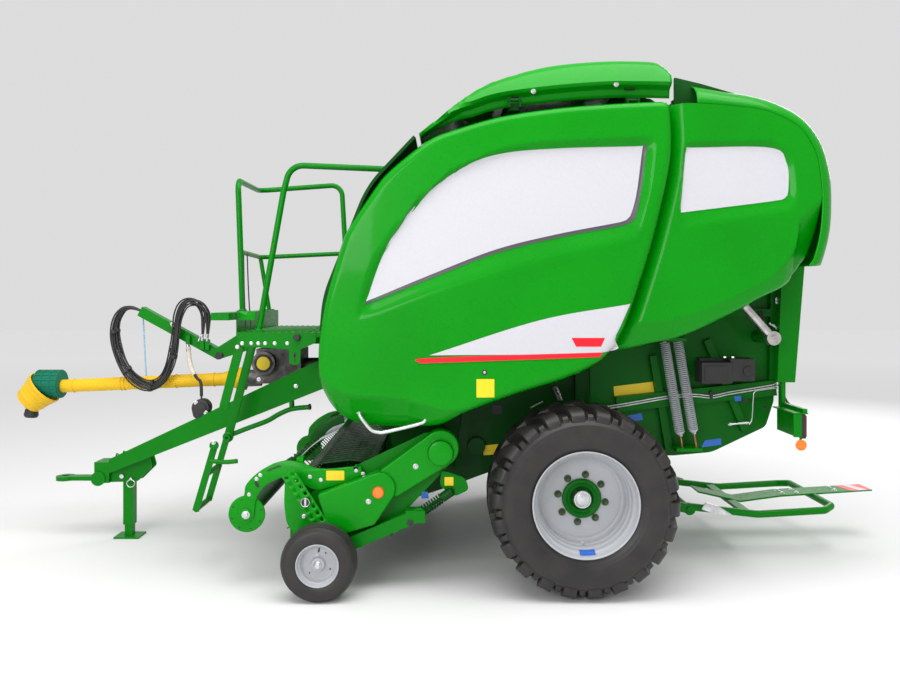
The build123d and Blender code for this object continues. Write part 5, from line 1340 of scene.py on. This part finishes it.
CORDS = [("hose_upper",
        [(-2951, 8, 1601), (-3043, 8, 1651.6), (-3118, -4, 1575), (-3124, -30, 1430), (-3078, -56, 1280),
            (-2995, -70, 1150), (-2885, -80, 1078), (-2782, -80, 1112), (-2722, -80, 1222),
            (-2694, -80, 1350), (-2684, -80, 1470), (-2672, -79, 1580), (-2628, -76, 1668),
            (-2540, -68, 1668), (-2498, -60, 1592), (-2500, -58, 1500), (-2500, -58, 1400)], 6),
    ("hose_lower",
        [(-2951, -20, 1601), (-3045, -20, 1652.7), (-3130, -32, 1565), (-3138, -55, 1405),
            (-3088, -80, 1250), (-2998, -95, 1118), (-2882, -104, 1046), (-2768, -104, 1084),
            (-2702, -104, 1200), (-2668, -104, 1340), (-2654, -104, 1470), (-2640, -103, 1574),
            (-2596, -100, 1658), (-2506, -88, 1658), (-2462, -66, 1580), (-2465, -58, 1490),
            (-2465, -58, 1400)], 6),
    ("hose_lead",
        [(-2600, -58, 1370), (-2600, -58, 1290), (-2570, -90, 1200), (-2512, -150, 1135),
            (-2468, -205, 1125), (-2450, -248, 1075), (-2450, -248, 1010)], 6),
    ("shaft_rope", [(-2941, 0, 1560), (-2930, 0, 1350), (-2918, 0, 1130)], 5)]


def cord_curve(name, points, radius):
    """Smooth line with the route's points as its control points."""
    data = bpy.data.curves.new(name, "CURVE")
    data.dimensions = "3D"
    data.resolution_u = 12
    line = data.splines.new("NURBS")
    line.points.add(len(points) - 1)
    for point, place in zip(line.points, at(points)):
        point.co = (*place, 1)
    line.order_u = 3
    line.use_endpoint_u = True
    thing = bpy.data.objects.new(name, data)
    bpy.context.collection.objects.link(thing)
    bare = bpy.data.meshes.new_from_object(thing)
    places = np.array([tuple(corner.co) for corner in bare.vertices])
    data.bevel_depth = radius / 1000
    data.bevel_resolution = 4
    data.use_fill_caps = True
    return thing, places


def hose_bundle(name, path):
    """Hoses beside a cord: path + out normal + depth across, drawn together at both ends, and ties."""
    step = np.gradient(path, axis=0)
    normal = np.column_stack([-step[:, 2], 0 * step[:, 0], step[:, 0]])
    normal /= np.linalg.norm(normal, axis=1)[:, None]
    share = np.linspace(0, 1, len(path))
    spacing = np.clip(share / 0.1, 0, 1) * np.clip((1 - share) / 0.1, 0, 1)
    side = 1 if name == "hose_upper" else -1
    twins = []
    for k, (out, depth) in enumerate(
            ((0, 13.5 * side), (12.5, 5 * side), (-12.5, 7 * side), (23, -4 * side))):
        sway = 3 * np.sin(share * (19 + 5 * k))
        place = path + (normal * (out + sway)[:, None] + np.array((0, depth, 0))) * spacing[:, None]
        twins.append(carried(place, ring_section(5.5, 9)))
    ties = [carried(path[k:k + 3] + normal[k:k + 3] * 4, ring_section(24, 14)) for k in (24, 48, 66, 90)]
    return [make_piece(name + "_twins", twins, black_rubber, "chassis", 60),
        make_piece(name + "_ties", ties, black_rubber, "chassis", 60)]


def lead_sleeves(path):
    """Cream sleeve over the lead's upper half, drawn in at its ends, and a black one below it."""
    sizes = np.interp(np.arange(50), [0, 3, 46, 49], [0.6, 1, 1, 0.7])
    sleeve = carried(path[2:52], ring_section(17, 16), sizes=sizes)
    black = carried(path[50:97], ring_section(11, 14))
    return [make_piece("cream_sleeve_tube", [sleeve], cream_sleeve, "chassis", 60),
        make_piece("lead_sleeve", [black], black_rubber, "chassis", 60)]


def hose_fittings():
    """Holder at the lead's end and the couplings on the hose arm."""
    clip = [plate(round_hull([(-2445, 948, 60), (-2470, 905, 26)], 80), -292, -214, 4),
        spun([(0, 0), (40, 0), (38, 6), (0, 8)], (-2445, -292, 948), LEFT, 36)]
    holder = make_piece("hose_clip", clip, black_rubber, "chassis")
    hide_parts("hose_bracket")
    heads = bolt((-2474, -292, 985), LEFT, 19, 9) + bolt((-2408, -292, 918), LEFT, 19, 9)
    coupling = [(0, 0), (11, 0), (12, 4), (12, 16), (9, 18), (9, 30), (12, 32), (12, 44), (8, 48), (0, 48)]
    places = [((-2708, -46, 1478), (-0.3, -0.4, 1)), ((-2690, -50, 1470), (0.2, -0.5, 1)),
        ((-2530, -46, 1390), (0.4, -0.3, 1)), ((-2500, -66, 1392), (0, 0, 1)),
        ((-2465, -66, 1392), (0, 0, 1)), ((-2600, -66, 1366), (0, 0, -1))]
    fittings = [spun(coupling, place, way, 16) for place, way in places]
    make_piece("hose_couplings", heads + fittings, zinc, "chassis", 40)


def cords():
    """The cords that hang free, then the pieces beside and at the ends of them."""
    for name, points, radius in CORDS:
        thing, places = cord_curve(name + "_line", points, radius)
        millimetres = places * 1000 - (AXLE_X, 0, 0)
        rope = name == "shaft_rope"
        thing.data.materials.append(rope_blue if rope else black_rubber)
        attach(thing, "chassis")
        extras = []
        if name in ("hose_upper", "hose_lower"):
            extras = hose_bundle(name, even_line(millimetres, 150))
        if name == "hose_lead":
            extras = lead_sleeves(even_line(millimetres, 100))
        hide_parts(name)
    hose_fittings()


stand_camera()
light_stage()
cords()
dress_nodes()
main_tyres()
main_rims()
gauge_wheels()
pickup_details()
windrow_guards()
door_details()
hood_details()
tension_coils()
tailgate_details()
shaft_details()
drawbar_details()
platform_details()
ladder()
ramp_details()
labels()
door_skins()
decals()
hood_shell()
rear_shell()
lay_floor()
